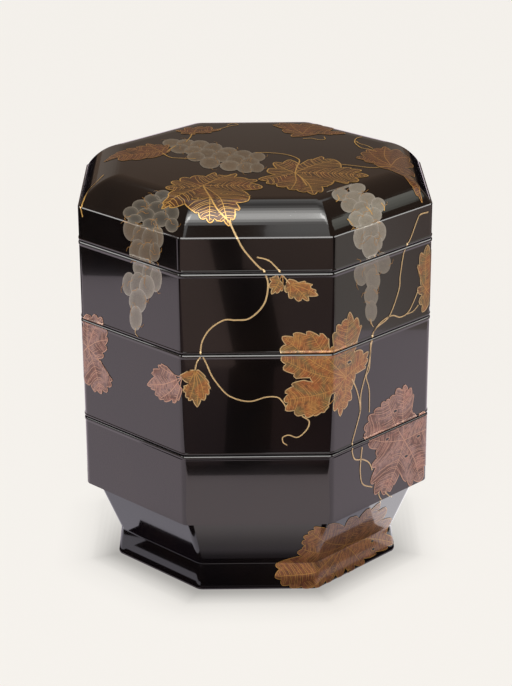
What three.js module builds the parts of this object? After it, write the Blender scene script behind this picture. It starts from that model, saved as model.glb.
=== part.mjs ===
// An eight-sided stacking box in black lacquer: a lid with a rounded shoulder over three tiers.
// The lowest tier runs into a flared foot. Every tier carries a lip that the piece above fits over.
// Millimetres, +Z up, the origin on the ground in the middle of the foot, one flat side facing -Y.
import * as THREE from "three";

// The plan: a regular octagon with rounded corners, the same for every piece.
const SIDES = 8;
const HALF_WIDTH = 120; // from the axis to the outside of a flat wall
const CORNER_RADIUS = 7;
const CORNER_STEPS = 4;

// The heights of the pieces, each without the lip that stands above it.
const FOOT_HEIGHT = 60.5; // from the ground to the lower edge of the bottom tier's wall
const BOTTOM_WALL_HEIGHT = 51;
const MIDDLE_TIER_HEIGHT = 73;
const TOP_TIER_HEIGHT = 56.5;
const LID_BAND_HEIGHT = 25; // the upright side of the lid
const LID_RISE = 18.5; // from the lid's edge up to its flat top

// Thicknesses.
const WALL = 6;
const FLOOR = 4;
const LID_TOP_THICKNESS = 7;
const FOOT_WALL = 8;

// The joint between two pieces.
const LIP_HEIGHT = 4;
const LIP_THICKNESS = 2.8;
const CLEARANCE = 0.3; // between two pieces, wherever they meet
const LOWER_BEAD = { height: 2.8, proud: 0.5 }; // along the rim that carries the piece above
const UPPER_BEAD = { height: 1.8, proud: 0.8 }; // along the bottom of the piece above

// The lid's shoulder.
const SHOULDER_REACH = 29.2; // from the edge of the band in to the edge of the flat top
const EDGE_LEDGE = 0.8; // the shoulder starts this far inside the band
const SHOULDER_START = { inward: 5, upward: 8.5 }; // the curve's first handle
const SHOULDER_END = 13.5; // the curve's last handle, level with the top

// The foot: an upright band, and a hollow curve from it up to the bottom tier's wall.
const FOOT_BAND_HEIGHT = 19.5;
const FOOT_INSET = 23; // from the tier's wall in to the crease on top of the band
const FOOT_FLARE = 3; // the band spreads this far from its crease down to the ground
const FOOT_CURVE_LOW = { outward: 7.5, upward: 18.5 }; // a handle, counted from the crease
const FOOT_CURVE_HIGH = { inward: 12, downward: 3 }; // a handle, counted from the wall's lower edge
const FOOT_EDGE_RADIUS = 2.5; // around the foot's lowest edge

const CURVE_STEPS = 7; // points along each curve of a profile

// What follows from those sizes.
const LIP_INNER = HALF_WIDTH - WALL;
const LIP_OUTER = LIP_INNER + LIP_THICKNESS;
const SKIRT_INNER = LIP_OUTER + CLEARANCE;
const SOCKET_DEPTH = LIP_HEIGHT + CLEARANCE; // how far a piece is cut away over the lip below
const BOTTOM_RIM = FOOT_HEIGHT + BOTTOM_WALL_HEIGHT;
const MIDDLE_RIM = BOTTOM_RIM + MIDDLE_TIER_HEIGHT;
const TOP_RIM = MIDDLE_RIM + TOP_TIER_HEIGHT;
const LID_EDGE = TOP_RIM + LID_BAND_HEIGHT;
const LID_TOP = LID_EDGE + LID_RISE;
const FOOT_CREASE = HALF_WIDTH - FOOT_INSET;
const FOOT_BASE = FOOT_CREASE + FOOT_FLARE;

const BLACK_LACQUER = { color: 0x14100f, roughness: 0.12, metalness: 0 };

// The points of one ring of the octagon, anticlockwise, with its corners rounded.
function ringPoints(halfWidth) {
  const radius = Math.min(CORNER_RADIUS, halfWidth);
  const turn = (2 * Math.PI) / SIDES;
  const toCentre = (halfWidth - radius) / Math.cos(turn / 2);
  const points = [];
  for (let corner = 0; corner < SIDES; corner++) {
    const middle = (corner + 0.5) * turn;
    for (let step = 0; step <= CORNER_STEPS; step++) {
      const angle = middle + (step / CORNER_STEPS - 0.5) * turn;
      points.push(
        new THREE.Vector2(
          toCentre * Math.cos(middle) + radius * Math.cos(angle),
          toCentre * Math.sin(middle) + radius * Math.sin(angle),
        ),
      );
    }
  }
  return points;
}

// Turns a profile of half widths and heights round the axis, as an octagon instead of a circle.
function octagonLathe(profile) {
  const outline = profile.getPoints(CURVE_STEPS);
  const columns = SIDES * (CORNER_STEPS + 1);
  const geometry = new THREE.LatheGeometry(outline, columns);
  const position = geometry.getAttribute("position");
  outline.forEach((point, row) => {
    const ring = ringPoints(point.x);
    for (let column = 0; column <= columns; column++) {
      const { x, y } = ring[column % columns];
      position.setXYZ(column * outline.length + row, x, y, point.y);
    }
  });
  geometry.computeVertexNormals();
  return geometry;
}

// A rounded moulding on the outside wall, drawn upwards.
function addBead(profile, bottom, { height, proud }) {
  profile.lineTo(HALF_WIDTH, bottom);
  profile.quadraticCurveTo(HALF_WIDTH + 2 * proud, bottom + height / 2, HALF_WIDTH, bottom + height);
}

// The rim of a tier and the lip inside it, drawn from the outside wall inwards.
function addRimAndLip(profile, rim) {
  addBead(profile, rim - LOWER_BEAD.height, LOWER_BEAD);
  profile.lineTo(LIP_OUTER, rim);
  profile.lineTo(LIP_OUTER, rim + LIP_HEIGHT);
  profile.lineTo(LIP_INNER, rim + LIP_HEIGHT);
}

// A tray that stands on the rim below it, with its floor above the lip that it fits over.
function tierProfile(rimBelow, rim) {
  const bottom = rimBelow + CLEARANCE;
  const underside = bottom + SOCKET_DEPTH;
  const profile = new THREE.Path();
  profile.moveTo(0, underside);
  profile.lineTo(SKIRT_INNER, underside);
  profile.lineTo(SKIRT_INNER, bottom);
  addBead(profile, bottom, UPPER_BEAD);
  addRimAndLip(profile, rim);
  profile.lineTo(LIP_INNER, underside + FLOOR);
  profile.lineTo(0, underside + FLOOR);
  return profile;
}

// The bottom tier: a tray whose wall curves in under its lower edge and ends in the foot's band.
function footedTierProfile() {
  const low = [FOOT_CREASE + FOOT_CURVE_LOW.outward, FOOT_BAND_HEIGHT + FOOT_CURVE_LOW.upward];
  const high = [HALF_WIDTH - FOOT_CURVE_HIGH.inward, FOOT_HEIGHT - FOOT_CURVE_HIGH.downward];
  const underside = FOOT_HEIGHT - FLOOR;
  const profile = new THREE.Path();
  profile.moveTo(0, underside);
  profile.lineTo(LIP_INNER - FOOT_WALL, underside);
  profile.bezierCurveTo(
    high[0] - FOOT_WALL,
    high[1] - FLOOR,
    low[0] - FOOT_WALL,
    low[1],
    FOOT_CREASE - FOOT_WALL,
    FOOT_BAND_HEIGHT,
  );
  profile.lineTo(FOOT_BASE - FOOT_WALL, 0);
  profile.lineTo(FOOT_BASE - FOOT_EDGE_RADIUS, 0);
  profile.quadraticCurveTo(FOOT_BASE, 0, FOOT_BASE, FOOT_EDGE_RADIUS);
  profile.lineTo(FOOT_CREASE, FOOT_BAND_HEIGHT);
  profile.bezierCurveTo(...low, ...high, HALF_WIDTH, FOOT_HEIGHT);
  addRimAndLip(profile, BOTTOM_RIM);
  profile.lineTo(LIP_INNER, FOOT_HEIGHT);
  profile.lineTo(0, FOOT_HEIGHT);
  return profile;
}

// The four points of the shoulder's curve, from the side of the lid up to the flat top.
function shoulderPoints(side, top) {
  const flat = side - SHOULDER_REACH;
  return [
    [side, top - LID_RISE],
    [side - SHOULDER_START.inward, top - LID_RISE + SHOULDER_START.upward],
    [flat + SHOULDER_END, top],
    [flat, top],
  ];
}

// The lid: a band that fits over the top tier's lip, a rounded shoulder and a flat top.
function lidProfile() {
  const bottom = TOP_RIM + CLEARANCE;
  const outside = shoulderPoints(HALF_WIDTH - EDGE_LEDGE, LID_TOP);
  const inside = shoulderPoints(LIP_INNER, LID_TOP - LID_TOP_THICKNESS).reverse();
  const profile = new THREE.Path();
  profile.moveTo(0, LID_TOP - LID_TOP_THICKNESS);
  profile.lineTo(...inside[0]);
  profile.bezierCurveTo(...inside.slice(1).flat());
  profile.lineTo(LIP_INNER, bottom + SOCKET_DEPTH);
  profile.lineTo(SKIRT_INNER, bottom + SOCKET_DEPTH);
  profile.lineTo(SKIRT_INNER, bottom);
  addBead(profile, bottom, UPPER_BEAD);
  profile.lineTo(HALF_WIDTH, LID_EDGE);
  profile.lineTo(...outside[0]);
  profile.bezierCurveTo(...outside.slice(1).flat());
  profile.lineTo(0, LID_TOP);
  return profile;
}

function piece(name, profile) {
  const material = new THREE.MeshStandardMaterial(BLACK_LACQUER);
  const mesh = new THREE.Mesh(octagonLathe(profile), material);
  mesh.name = name;
  return mesh;
}

const box = new THREE.Group();
box.add(
  piece("bottom_tier", footedTierProfile()),
  piece("middle_tier", tierProfile(BOTTOM_RIM, MIDDLE_RIM)),
  piece("top_tier", tierProfile(MIDDLE_RIM, TOP_RIM)),
  piece("lid", lidProfile()),
);

export default box;
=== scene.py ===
"""Dresses the tiered lacquer box: polished black bodies with grapevines in gold and silver powder.

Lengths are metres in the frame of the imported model: +Z up, the ground at z = 0 and one flat side
of the octagon facing -Y, towards the camera.
"""

from __future__ import annotations

import logging
import math
import random
from collections.abc import Callable, Iterable, Sequence
from dataclasses import dataclass, field
from enum import Enum

import bmesh
import bpy
from mathutils import Matrix, Vector, noise
from mathutils.bvhtree import BVHTree
from mathutils.geometry import delaunay_2d_cdt, intersect_point_line

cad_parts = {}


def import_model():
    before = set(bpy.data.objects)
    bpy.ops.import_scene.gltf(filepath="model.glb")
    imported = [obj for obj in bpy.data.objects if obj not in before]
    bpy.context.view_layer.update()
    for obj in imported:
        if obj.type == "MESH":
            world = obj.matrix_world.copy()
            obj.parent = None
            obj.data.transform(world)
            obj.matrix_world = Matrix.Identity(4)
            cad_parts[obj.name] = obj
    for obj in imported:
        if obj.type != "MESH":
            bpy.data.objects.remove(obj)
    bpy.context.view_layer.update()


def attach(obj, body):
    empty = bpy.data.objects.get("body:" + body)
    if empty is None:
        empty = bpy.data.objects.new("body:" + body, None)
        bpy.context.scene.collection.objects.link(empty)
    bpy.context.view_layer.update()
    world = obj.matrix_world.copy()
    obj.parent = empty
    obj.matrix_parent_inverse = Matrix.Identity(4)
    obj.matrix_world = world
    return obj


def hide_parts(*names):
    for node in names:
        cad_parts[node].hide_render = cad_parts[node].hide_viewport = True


LOG = logging.getLogger("lacquer_box")

Colour = tuple[float, float, float]


def linear(red: int, green: int, blue: int) -> Colour:
    """Turn a colour seen on a screen into the linear light that the shaders count in.

    Args:
        red: Red from 0 to 255.
        green: Green from 0 to 255.
        blue: Blue from 0 to 255.

    Returns:
        The three channels as linear values from 0 to 1.
    """
    shares = (channel / 255 for channel in (red, green, blue))
    return tuple(s / 12.92 if s <= 0.04045 else ((s + 0.055) / 1.055) ** 2.4 for s in shares)


@dataclass(frozen=True)
class Octagon:
    """The plan that every piece shares: a regular octagon with rounded corners."""

    half_width: float = 0.120
    corner_radius: float = 0.007
    sides: int = 8
    corner_steps: int = 10
    support: float = 0.0007

    @property
    def turn(self) -> float:
        """Give the angle between two neighbouring sides."""
        return 2 * math.pi / self.sides

    @property
    def slope(self) -> float:
        """Give half a side's width for each metre of half width."""
        return math.tan(self.turn / 2)

    def axes(self, side: int) -> tuple[Vector, Vector]:
        """Give a side's directions in plan.

        Args:
            side: The side's number, 0 facing -Y and rising anticlockwise from above.

        Returns:
            The direction out of the side, and the one along it to the right as seen from outside.
        """
        angle = side * self.turn - math.pi / 2
        return Vector((math.cos(angle), math.sin(angle))), Vector((-math.sin(angle), math.cos(angle)))

    def flat_half(self, half_width: float) -> float:
        """Give half the width of the flat part of a side, between its rounded corners."""
        return (half_width - self.corner_radius) * self.slope

    def ring(self, half_width: float) -> list[Vector]:
        """Give the points of one level of a piece.

        Args:
            half_width: From the axis to the outside of a flat side.

        Returns:
            The points in plan, anticlockwise, with extra ones beside each rounded corner.
        """
        core = half_width - self.corner_radius
        flat = self.flat_half(half_width)
        points = []
        for side in range(self.sides):
            out, along = self.axes(side)
            points += [out * half_width + along * (side_end - math.copysign(self.support, side_end))
                       for side_end in (-flat, flat)]
            for step in range(self.corner_steps + 1):
                angle = step / self.corner_steps * self.turn
                points.append(out * (core + self.corner_radius * math.cos(angle))
                              + along * (core * self.slope + self.corner_radius * math.sin(angle)))
        return points


class Surface(Enum):
    """Which finish a stretch of a piece's profile carries; the value is its material's place."""

    POLISHED = 0
    SATIN = 1


@dataclass
class Profile:
    """The line of half widths and heights that a piece is turned from, drawn corner by corner."""

    corners: list[tuple[Vector, float, Surface]] = field(default_factory=list)
    surface: Surface = Surface.SATIN
    curve_steps: int = 16
    rounding_steps: int = 4
    support: float = 0.0005

    def to(self, half_width: float, height: float, rounding: float = 0.0) -> None:
        """Draw a straight stretch.

        Args:
            half_width: Half width at its end.
            height: Height at its end.
            rounding: How far from this corner its rounding starts on both sides.
        """
        self.corners.append((Vector((half_width, height)), rounding, self.surface))

    def curve(self, *handles: tuple[float, float]) -> None:
        """Draw a Bezier curve from the last corner.

        Args:
            handles: Its handles, and its end as the last one.
        """
        control = [self.corners[-1][0], *(Vector(handle) for handle in handles)]
        order = len(control) - 1
        for step in range(1, self.curve_steps + 1):
            share = step / self.curve_steps
            point = sum(
                (math.comb(order, i) * share**i * (1 - share) ** (order - i) * place
                 for i, place in enumerate(control)),
                Vector((0, 0)),
            )
            self.corners.append((point, 0.0, self.surface))

    def rounded(self) -> list[tuple[Vector, Surface]]:
        """Give the corners with their roundings drawn as short curves."""
        points = []
        last = len(self.corners) - 1
        for i, (corner, rounding, surface) in enumerate(self.corners):
            if not rounding or i in (0, last):
                points.append((corner, surface))
                continue
            before, after = self.corners[i - 1][0] - corner, self.corners[i + 1][0] - corner
            start = corner + before.normalized() * min(rounding, before.length / 2)
            end = corner + after.normalized() * min(rounding, after.length / 2)
            for step in range(self.rounding_steps + 1):
                share = step / self.rounding_steps
                points.append((start.lerp(corner, share).lerp(corner.lerp(end, share), share), surface))
        return points

    def points(self) -> list[tuple[Vector, Surface]]:
        """Give the finished line, with extra points close to the ends of its long straight parts."""
        rounded = self.rounded()
        points = [rounded[0]]
        for (start, _), (end, surface) in zip(rounded, rounded[1:]):
            length = (end - start).length
            if length > 4 * self.support:
                points.append((start.lerp(end, self.support / length), surface))
                points.append((end.lerp(start, self.support / length), surface))
            points.append((end, surface))
        return points


def add_mesh(
    name: str,
    vertices: Iterable[Sequence[float]],
    faces: Iterable[Sequence[int]],
    materials: Sequence[bpy.types.Material],
) -> bpy.types.Object:
    """Make a mesh and link its object at the origin.

    Args:
        name: The object's name.
        vertices: Its points.
        faces: Its faces, as numbers of points.
        materials: Its materials.

    Returns:
        The new object.
    """
    mesh = bpy.data.meshes.new(name)
    mesh.from_pydata([tuple(v) for v in vertices], [], [tuple(f) for f in faces])
    for material in materials:
        mesh.materials.append(material)
    piece = bpy.data.objects.new(name, mesh)
    bpy.context.scene.collection.objects.link(piece)
    return piece


def turned_piece(
    name: str, plan: Octagon, profile: Profile, materials: Sequence[bpy.types.Material]
) -> bpy.types.Object:
    """Turn a profile round the axis, as an octagon instead of a circle.

    Args:
        name: The piece's name.
        plan: The octagon.
        profile: The profile, from the middle of one flat face to the middle of another.
        materials: The materials, in the order of Surface.

    Returns:
        The closed, smoothly shaded piece.
    """
    outline = profile.points()
    rings = [plan.ring(point.x) for point, _ in outline]
    count = len(rings[0])
    vertices = [(*place, point.y) for ring, (point, _) in zip(rings, outline) for place in ring]
    faces = [tuple(range(count))]
    surfaces = [outline[0][1].value]
    for row in range(len(outline) - 1):
        for column in range(count):
            beside = (column + 1) % count
            faces.append((row * count + column, row * count + beside,
                          (row + 1) * count + beside, (row + 1) * count + column))
            surfaces.append(outline[row + 1][1].value)
    faces.append(tuple(range((len(outline) - 1) * count, len(outline) * count)))
    surfaces.append(outline[-1][1].value)
    piece = add_mesh(name, vertices, faces, materials)
    piece.data.polygons.foreach_set("material_index", surfaces)
    shell = bmesh.new()
    shell.from_mesh(piece.data)
    bmesh.ops.recalc_face_normals(shell, faces=shell.faces)
    shell.to_mesh(piece.data)
    shell.free()
    piece.data.shade_smooth()
    piece.data.set_sharp_from_angle(angle=math.radians(32))
    return piece


@dataclass(frozen=True)
class Joint:
    """The lip, the play and the mouldings where one piece stands on another."""

    lip_height: float = 0.004
    lip_inner: float = 0.114
    lip_outer: float = 0.1168
    play: float = 0.0003
    skirt_inner: float = 0.1171
    rim_bead_height: float = 0.0026
    foot_bead_height: float = 0.0023
    proud: float = 0.0004
    lit_edge: float = 0.0007
    rebate: float = 0.0014
    bare_below: float = 0.0008
    bare_above: float = 0.0012
    edge: float = 0.0006

    @property
    def socket(self) -> float:
        """Give how far a piece is cut away over the lip below."""
        return self.lip_height + self.play

    def draw_skirt(self, profile: Profile, rim_below: float, plan: Octagon) -> None:
        """Draw the socket over the lip below and the moulding along the bottom of a piece.

        Args:
            profile: The profile, ending on the piece's underside.
            rim_below: The height of the rim that the piece stands on.
            plan: The octagon.
        """
        bottom = rim_below + self.play
        profile.to(self.skirt_inner, bottom + self.socket)
        profile.to(self.skirt_inner, bottom, 0.0002)
        profile.surface = Surface.POLISHED
        wall, top = plan.half_width, bottom + self.foot_bead_height
        profile.to(wall - self.rebate, bottom)
        profile.to(wall - self.rebate, bottom + 0.0008)
        profile.to(wall + 0.0001, bottom + 0.0008)
        profile.curve((wall + self.proud, bottom + 0.0012), (wall + self.proud, top - 0.0004))
        profile.to(wall, top)

    def draw_rim(self, profile: Profile, rim: float, plan: Octagon) -> None:
        """Draw the moulding along a rim, the rim and the lip inside it.

        Args:
            profile: The profile, coming up the outside wall.
            rim: The height of the rim.
            plan: The octagon.
        """
        wall = plan.half_width
        profile.to(wall, rim - self.rim_bead_height)
        profile.to(wall + self.proud, rim - self.rim_bead_height + 0.0007)
        profile.to(wall + self.proud, rim - self.lit_edge)
        profile.to(wall + self.proud - 0.36 * self.lit_edge, rim)
        profile.surface = Surface.SATIN
        profile.to(self.lip_outer, rim, 0.0002)
        profile.to(self.lip_outer, rim + self.lip_height, self.edge)
        profile.to(self.lip_inner, rim + self.lip_height, self.edge)


@dataclass
class Tray:
    """A tier: a tray that stands on the piece below and carries the one above."""

    node: str
    rim_below: float
    rim: float
    plan: Octagon = field(default_factory=Octagon)
    joint: Joint = field(default_factory=Joint)
    floor: float = 0.004
    inner_rounding: float = 0.002

    def profile(self) -> Profile:
        """Draw the tray's section, from the middle of its underside to that of its floor."""
        underside = self.rim_below + self.joint.play + self.joint.socket
        profile = Profile()
        profile.to(0.100, underside)
        self.joint.draw_skirt(profile, self.rim_below, self.plan)
        self.joint.draw_rim(profile, self.rim, self.plan)
        self.draw_inside(profile, underside + self.floor)
        return profile

    def draw_inside(self, profile: Profile, floor_top: float) -> None:
        """Draw the inner wall down to the floor.

        Args:
            profile: The profile, ending on top of the lip.
            floor_top: The height of the floor's upper face.
        """
        profile.to(self.joint.lip_inner, floor_top, self.inner_rounding)
        profile.to(0.100, floor_top)

    def build(self, materials: Sequence[bpy.types.Material]) -> bpy.types.Object:
        """Make the piece that stands for the tray's node.

        Args:
            materials: The materials, in the order of Surface.

        Returns:
            The dressed piece.
        """
        piece = turned_piece(f"{self.node}_body", self.plan, self.profile(), materials)
        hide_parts(self.node)
        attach(piece, "root")
        return piece


@dataclass
class FootedTray(Tray):
    """The bottom tier, whose wall curves in under its lower edge and ends in the foot's band."""

    wall_bottom: float = 0.0605
    band_height: float = 0.0195
    crease: float = 0.097
    base: float = 0.100
    foot_wall: float = 0.008
    cove: tuple[float, float] = (0.1115, 0.0574)
    cove_radius: float = 0.0015

    def profile(self) -> Profile:
        """Draw the section, from under the tray's floor round the foot and over the rim."""
        inside = self.joint.lip_inner - self.foot_wall
        profile = Profile()
        profile.to(0.100, self.wall_bottom - self.floor)
        profile.to(inside, self.wall_bottom - self.floor)
        profile.to(self.cove[0] - self.foot_wall, self.cove[1] - self.floor, self.cove_radius)
        profile.to(self.crease - self.foot_wall, self.band_height, 0.0006)
        profile.to(self.base - self.foot_wall, 0.0, 0.0006)
        profile.surface = Surface.POLISHED
        profile.to(self.base, 0.0, 0.0022)
        profile.to(self.crease, self.band_height, 0.0005)
        profile.to(*self.cove, self.cove_radius)
        profile.to(self.plan.half_width, self.wall_bottom)
        self.joint.draw_rim(profile, self.rim, self.plan)
        self.draw_inside(profile, self.wall_bottom)
        return profile


@dataclass
class Lid(Tray):
    """The lid: an upright band over the top tier's lip, a rounded shoulder and a flat top."""

    rise: float = 0.0181
    thickness: float = 0.007
    ledge: float = 0.0008
    reach: float = 0.0292
    start_handle: tuple[float, float] = (0.005, 0.0085)
    end_handle: float = 0.0135

    def shoulder(self, side: float, top: float) -> list[tuple[float, float]]:
        """Give the four points of the shoulder's curve, from the side up to the flat top."""
        flat = side - self.reach
        return [
            (side, top - self.rise),
            (side - self.start_handle[0], top - self.rise + self.start_handle[1]),
            (flat + self.end_handle, top),
            (flat, top),
        ]

    def profile(self) -> Profile:
        """Draw the section, from the middle of the ceiling round the skirt to that of the top."""
        top = self.rim + self.rise
        outside = self.shoulder(self.plan.half_width - self.ledge, top)
        inside = self.shoulder(self.joint.lip_inner, top - self.thickness)[::-1]
        bottom = self.rim_below + self.joint.play
        profile = Profile()
        profile.to(inside[0][0] - 0.001, inside[0][1])
        profile.to(*inside[0])
        profile.curve(*inside[1:])
        profile.to(self.joint.lip_inner, bottom + self.joint.socket)
        self.joint.draw_skirt(profile, self.rim_below, self.plan)
        profile.to(self.plan.half_width, self.rim - 0.0007)
        profile.to(self.plan.half_width - 0.00025, self.rim)
        profile.to(*outside[0])
        profile.curve(*outside[1:])
        profile.to(outside[-1][0] - 0.001, top)
        return profile


class NodeSheet:
    """A node tree with short ways to place nodes, set their inputs and link them."""

    def __init__(self, tree: bpy.types.NodeTree) -> None:
        """Start on a tree.

        Args:
            tree: The tree to fill.
        """
        self.tree = tree

    def add(self, kind: str, **inputs: object) -> bpy.types.Node:
        """Place a node.

        Args:
            kind: The node's type, without the words ShaderNode.
            inputs: Its sockets' values or the sockets that feed them, with _ for a space.

        Returns:
            The new node.
        """
        node = self.tree.nodes.new(f"ShaderNode{kind}")
        for name, value in inputs.items():
            self.feed(node.inputs[name.replace("_", " ")], value)
        return node

    def feed(self, socket: bpy.types.NodeSocket, value: object) -> None:
        """Set a socket to a value or link it to another socket."""
        if isinstance(value, bpy.types.NodeSocket):
            self.tree.links.new(value, socket)
        elif isinstance(value, tuple) and len(value) == 3 and socket.type == "RGBA":
            socket.default_value = (*value, 1.0)
        else:
            socket.default_value = value

    def math(self, operation: str, *values: object) -> bpy.types.NodeSocket:
        """Place a math node and give its result."""
        node = self.tree.nodes.new("ShaderNodeMath")
        node.operation = operation
        for socket, value in zip(node.inputs, values):
            self.feed(socket, value)
        return node.outputs["Value"]

    def multiply(self, first: object, second: object) -> bpy.types.NodeSocket:
        """Multiply two colours and give the result."""
        return self.blend(1.0, first, second, "MULTIPLY")

    def blend(
        self, share: object, first: object, second: object, kind: str = "MIX"
    ) -> bpy.types.NodeSocket:
        """Mix two colours by a share and give the result."""
        node = self.tree.nodes.new("ShaderNodeMix")
        node.data_type = "RGBA"
        node.blend_type = kind
        for name, value in (("Factor_Float", share), ("A_Color", first), ("B_Color", second)):
            socket = next(s for s in node.inputs if s.identifier == name)
            self.feed(socket, value)
        return next(s for s in node.outputs if s.identifier == "Result_Color")

    def noise(self, place: object, scale: float, detail: float = 2.0) -> bpy.types.NodeSocket:
        """Place a noise texture and give its value."""
        return self.add("TexNoise", Vector=place, Scale=scale, Detail=detail).outputs["Fac"]

    def window(self, value: object, low: float, high: float) -> bpy.types.NodeSocket:
        """Stretch the values between low and high to run from 0 to 1, and hold them there."""
        node = self.add("MapRange", Value=value, From_Min=low, From_Max=high)
        node.clamp = True
        return node.outputs["Result"]


def make_group(
    name: str, inputs: dict[str, float], outputs: dict[str, str], fill: Callable[..., dict]
) -> bpy.types.NodeTree:
    """Make a shader node group.

    Args:
        name: Its name.
        inputs: Its number inputs with their default values.
        outputs: Its outputs with the type of each.
        fill: Draws the inside: it gets the sheet and the group's inputs, and gives the outputs.

    Returns:
        The group's tree.
    """
    tree = bpy.data.node_groups.new(name, "ShaderNodeTree")
    for title, value in inputs.items():
        socket = tree.interface.new_socket(name=title, in_out="INPUT", socket_type="NodeSocketFloat")
        socket.default_value = value
    for title, kind in outputs.items():
        tree.interface.new_socket(name=title, in_out="OUTPUT", socket_type=f"NodeSocket{kind}")
    entry, leave = tree.nodes.new("NodeGroupInput"), tree.nodes.new("NodeGroupOutput")
    sheet = NodeSheet(tree)
    for title, value in fill(sheet, entry.outputs).items():
        sheet.feed(leave.inputs[title], value)
    return tree


class Effects:
    """The node groups that several finishes share."""

    def __init__(self) -> None:
        """Make each group once."""
        self.polish = make_group(
            "polish_marks", {"Scale": 1.0, "Strength": 1.0},
            {"Haze": "Float", "Height": "Float"}, self.draw_polish,
        )
        self.grains = make_group(
            "powder_grains", {"Scale": 2600.0, "Strength": 0.3, "Wear": 0.2},
            {"Brightness": "Float", "Worn": "Float"}, self.draw_grains,
        )

    @staticmethod
    def draw_polish(sheet: NodeSheet, inputs: bpy.types.NodeInputs) -> dict:
        """Draw faint hazy patches and the slow waves of hand polishing."""
        place = sheet.add("TexCoord").outputs["Object"]
        patches = sheet.add("TexNoise", Vector=place, Scale=14.0, Detail=4.0).outputs["Fac"]
        waves = sheet.add("TexNoise", Vector=place, Scale=9.0, Detail=1.0).outputs["Fac"]
        haze = sheet.math("MULTIPLY", sheet.window(patches, 0.45, 0.75), inputs["Strength"])
        return {"Haze": haze, "Height": sheet.math("MULTIPLY", waves, inputs["Strength"])}


    @staticmethod
    def draw_grains(sheet: NodeSheet, inputs: bpy.types.NodeInputs) -> dict:
        """Draw the speckle of strewn powder and the thin places where black shows through."""
        place = sheet.add("TexCoord").outputs["Object"]
        specks = sheet.add("TexNoise", Vector=place, Scale=inputs["Scale"], Detail=2.0).outputs["Fac"]
        spread = sheet.math("MULTIPLY_ADD", sheet.window(specks, 0.3, 0.7), 2.0, -1.0)
        brightness = sheet.math("MULTIPLY_ADD", spread, inputs["Strength"], 1.0)
        thin = sheet.add("TexNoise", Vector=place, Scale=420.0, Detail=4.0).outputs["Fac"]
        worn = sheet.math("MULTIPLY", sheet.window(thin, 0.52, 0.66), inputs["Wear"])
        return {"Brightness": brightness, "Worn": worn}


@dataclass(frozen=True)
class LacquerFinish:
    """A black lacquer: how glossy it is and how warm its black."""

    name: str
    black: Colour = (0.0034, 0.0027, 0.0028)
    brown: Colour = (0.0066, 0.0044, 0.0036)
    roughness: float = 0.09
    haze: float = 0.05
    coat: float = 1.0
    coat_roughness: float = 0.03
    wave: float = 0.02

    def material(self, effects: Effects) -> bpy.types.Material:
        """Make the material.

        Args:
            effects: The shared node groups.

        Returns:
            The finished material.
        """
        material = bpy.data.materials.new(self.name)
        material.use_nodes = True
        sheet = NodeSheet(material.node_tree)
        shader = material.node_tree.nodes["Principled BSDF"]
        marks = sheet.add("Group")
        marks.node_tree = effects.polish
        place = sheet.add("TexCoord").outputs["Object"]
        cloud = sheet.window(sheet.noise(place, 22.0, 3.0), 0.35, 0.7)
        sheet.feed(shader.inputs["Base Color"], sheet.blend(cloud, self.black, self.brown))
        haze = sheet.math("MULTIPLY_ADD", marks.outputs["Haze"], self.haze, self.roughness)
        sheet.feed(shader.inputs["Roughness"], haze)
        shader.inputs["Coat Weight"].default_value = self.coat
        shader.inputs["Coat Roughness"].default_value = self.coat_roughness
        bump = sheet.add("Bump", Strength=self.wave, Distance=0.001, Height=marks.outputs["Height"])
        sheet.feed(shader.inputs["Normal"], bump.outputs["Normal"])
        return material


@dataclass(frozen=True)
class Card:
    """A reflector or black card that only the lacquer sees, drawn from line to line."""

    name: str
    lines: tuple[tuple[tuple[float, float, float], tuple[float, float, float], Colour], ...]

    def build(self, material: bpy.types.Material) -> bpy.types.Object:
        """Make the card.

        Args:
            material: A material that glows by the mesh's own colours.

        Returns:
            The card, brighter or darker from each of its lines to the next.
        """
        corners = [corner for left, right, _ in self.lines for corner in (left, right)]
        faces = [(2 * i, 2 * i + 1, 2 * i + 3, 2 * i + 2) for i in range(len(self.lines) - 1)]
        card = add_mesh(self.name, corners, faces, [material])
        layer = card.data.color_attributes.new("glow", "FLOAT_COLOR", "POINT")
        glows = [(*glow, 1.0) for _, _, glow in self.lines for _ in range(2)]
        layer.data.foreach_set("color", [channel for glow in glows for channel in glow])
        card.visible_camera = False
        card.visible_diffuse = False
        card.visible_shadow = False
        return card


def floor_card(name: str, left: float, right: float, *stops: tuple[float, Colour]) -> Card:
    """Lay a card on the floor in front of the box.

    Args:
        name: Its name.
        left: Its left edge.
        right: Its right edge.
        stops: Places along Y, each with the glow there.

    Returns:
        The card.
    """
    lift = 0.002
    return Card(name, tuple(((left, y, lift), (right, y, lift), glow) for y, glow in stops))


@dataclass(frozen=True)
class SunLight:
    """An even light from above that casts the box's soft shade on the floor."""

    name: str
    strength: float
    spread: float
    lean: tuple[float, float]
    colour: Colour = (1.0, 0.985, 0.965)

    def build(self) -> bpy.types.Object:
        """Make the light, leaning about the X and Y axes."""
        light = bpy.data.lights.new(self.name, "SUN")
        light.energy = self.strength
        light.angle = self.spread
        light.color = self.colour
        lamp = bpy.data.objects.new(self.name, light)
        lamp.rotation_euler = (*self.lean, 0.0)
        lamp.visible_glossy = False
        bpy.context.scene.collection.objects.link(lamp)
        return lamp


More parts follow.
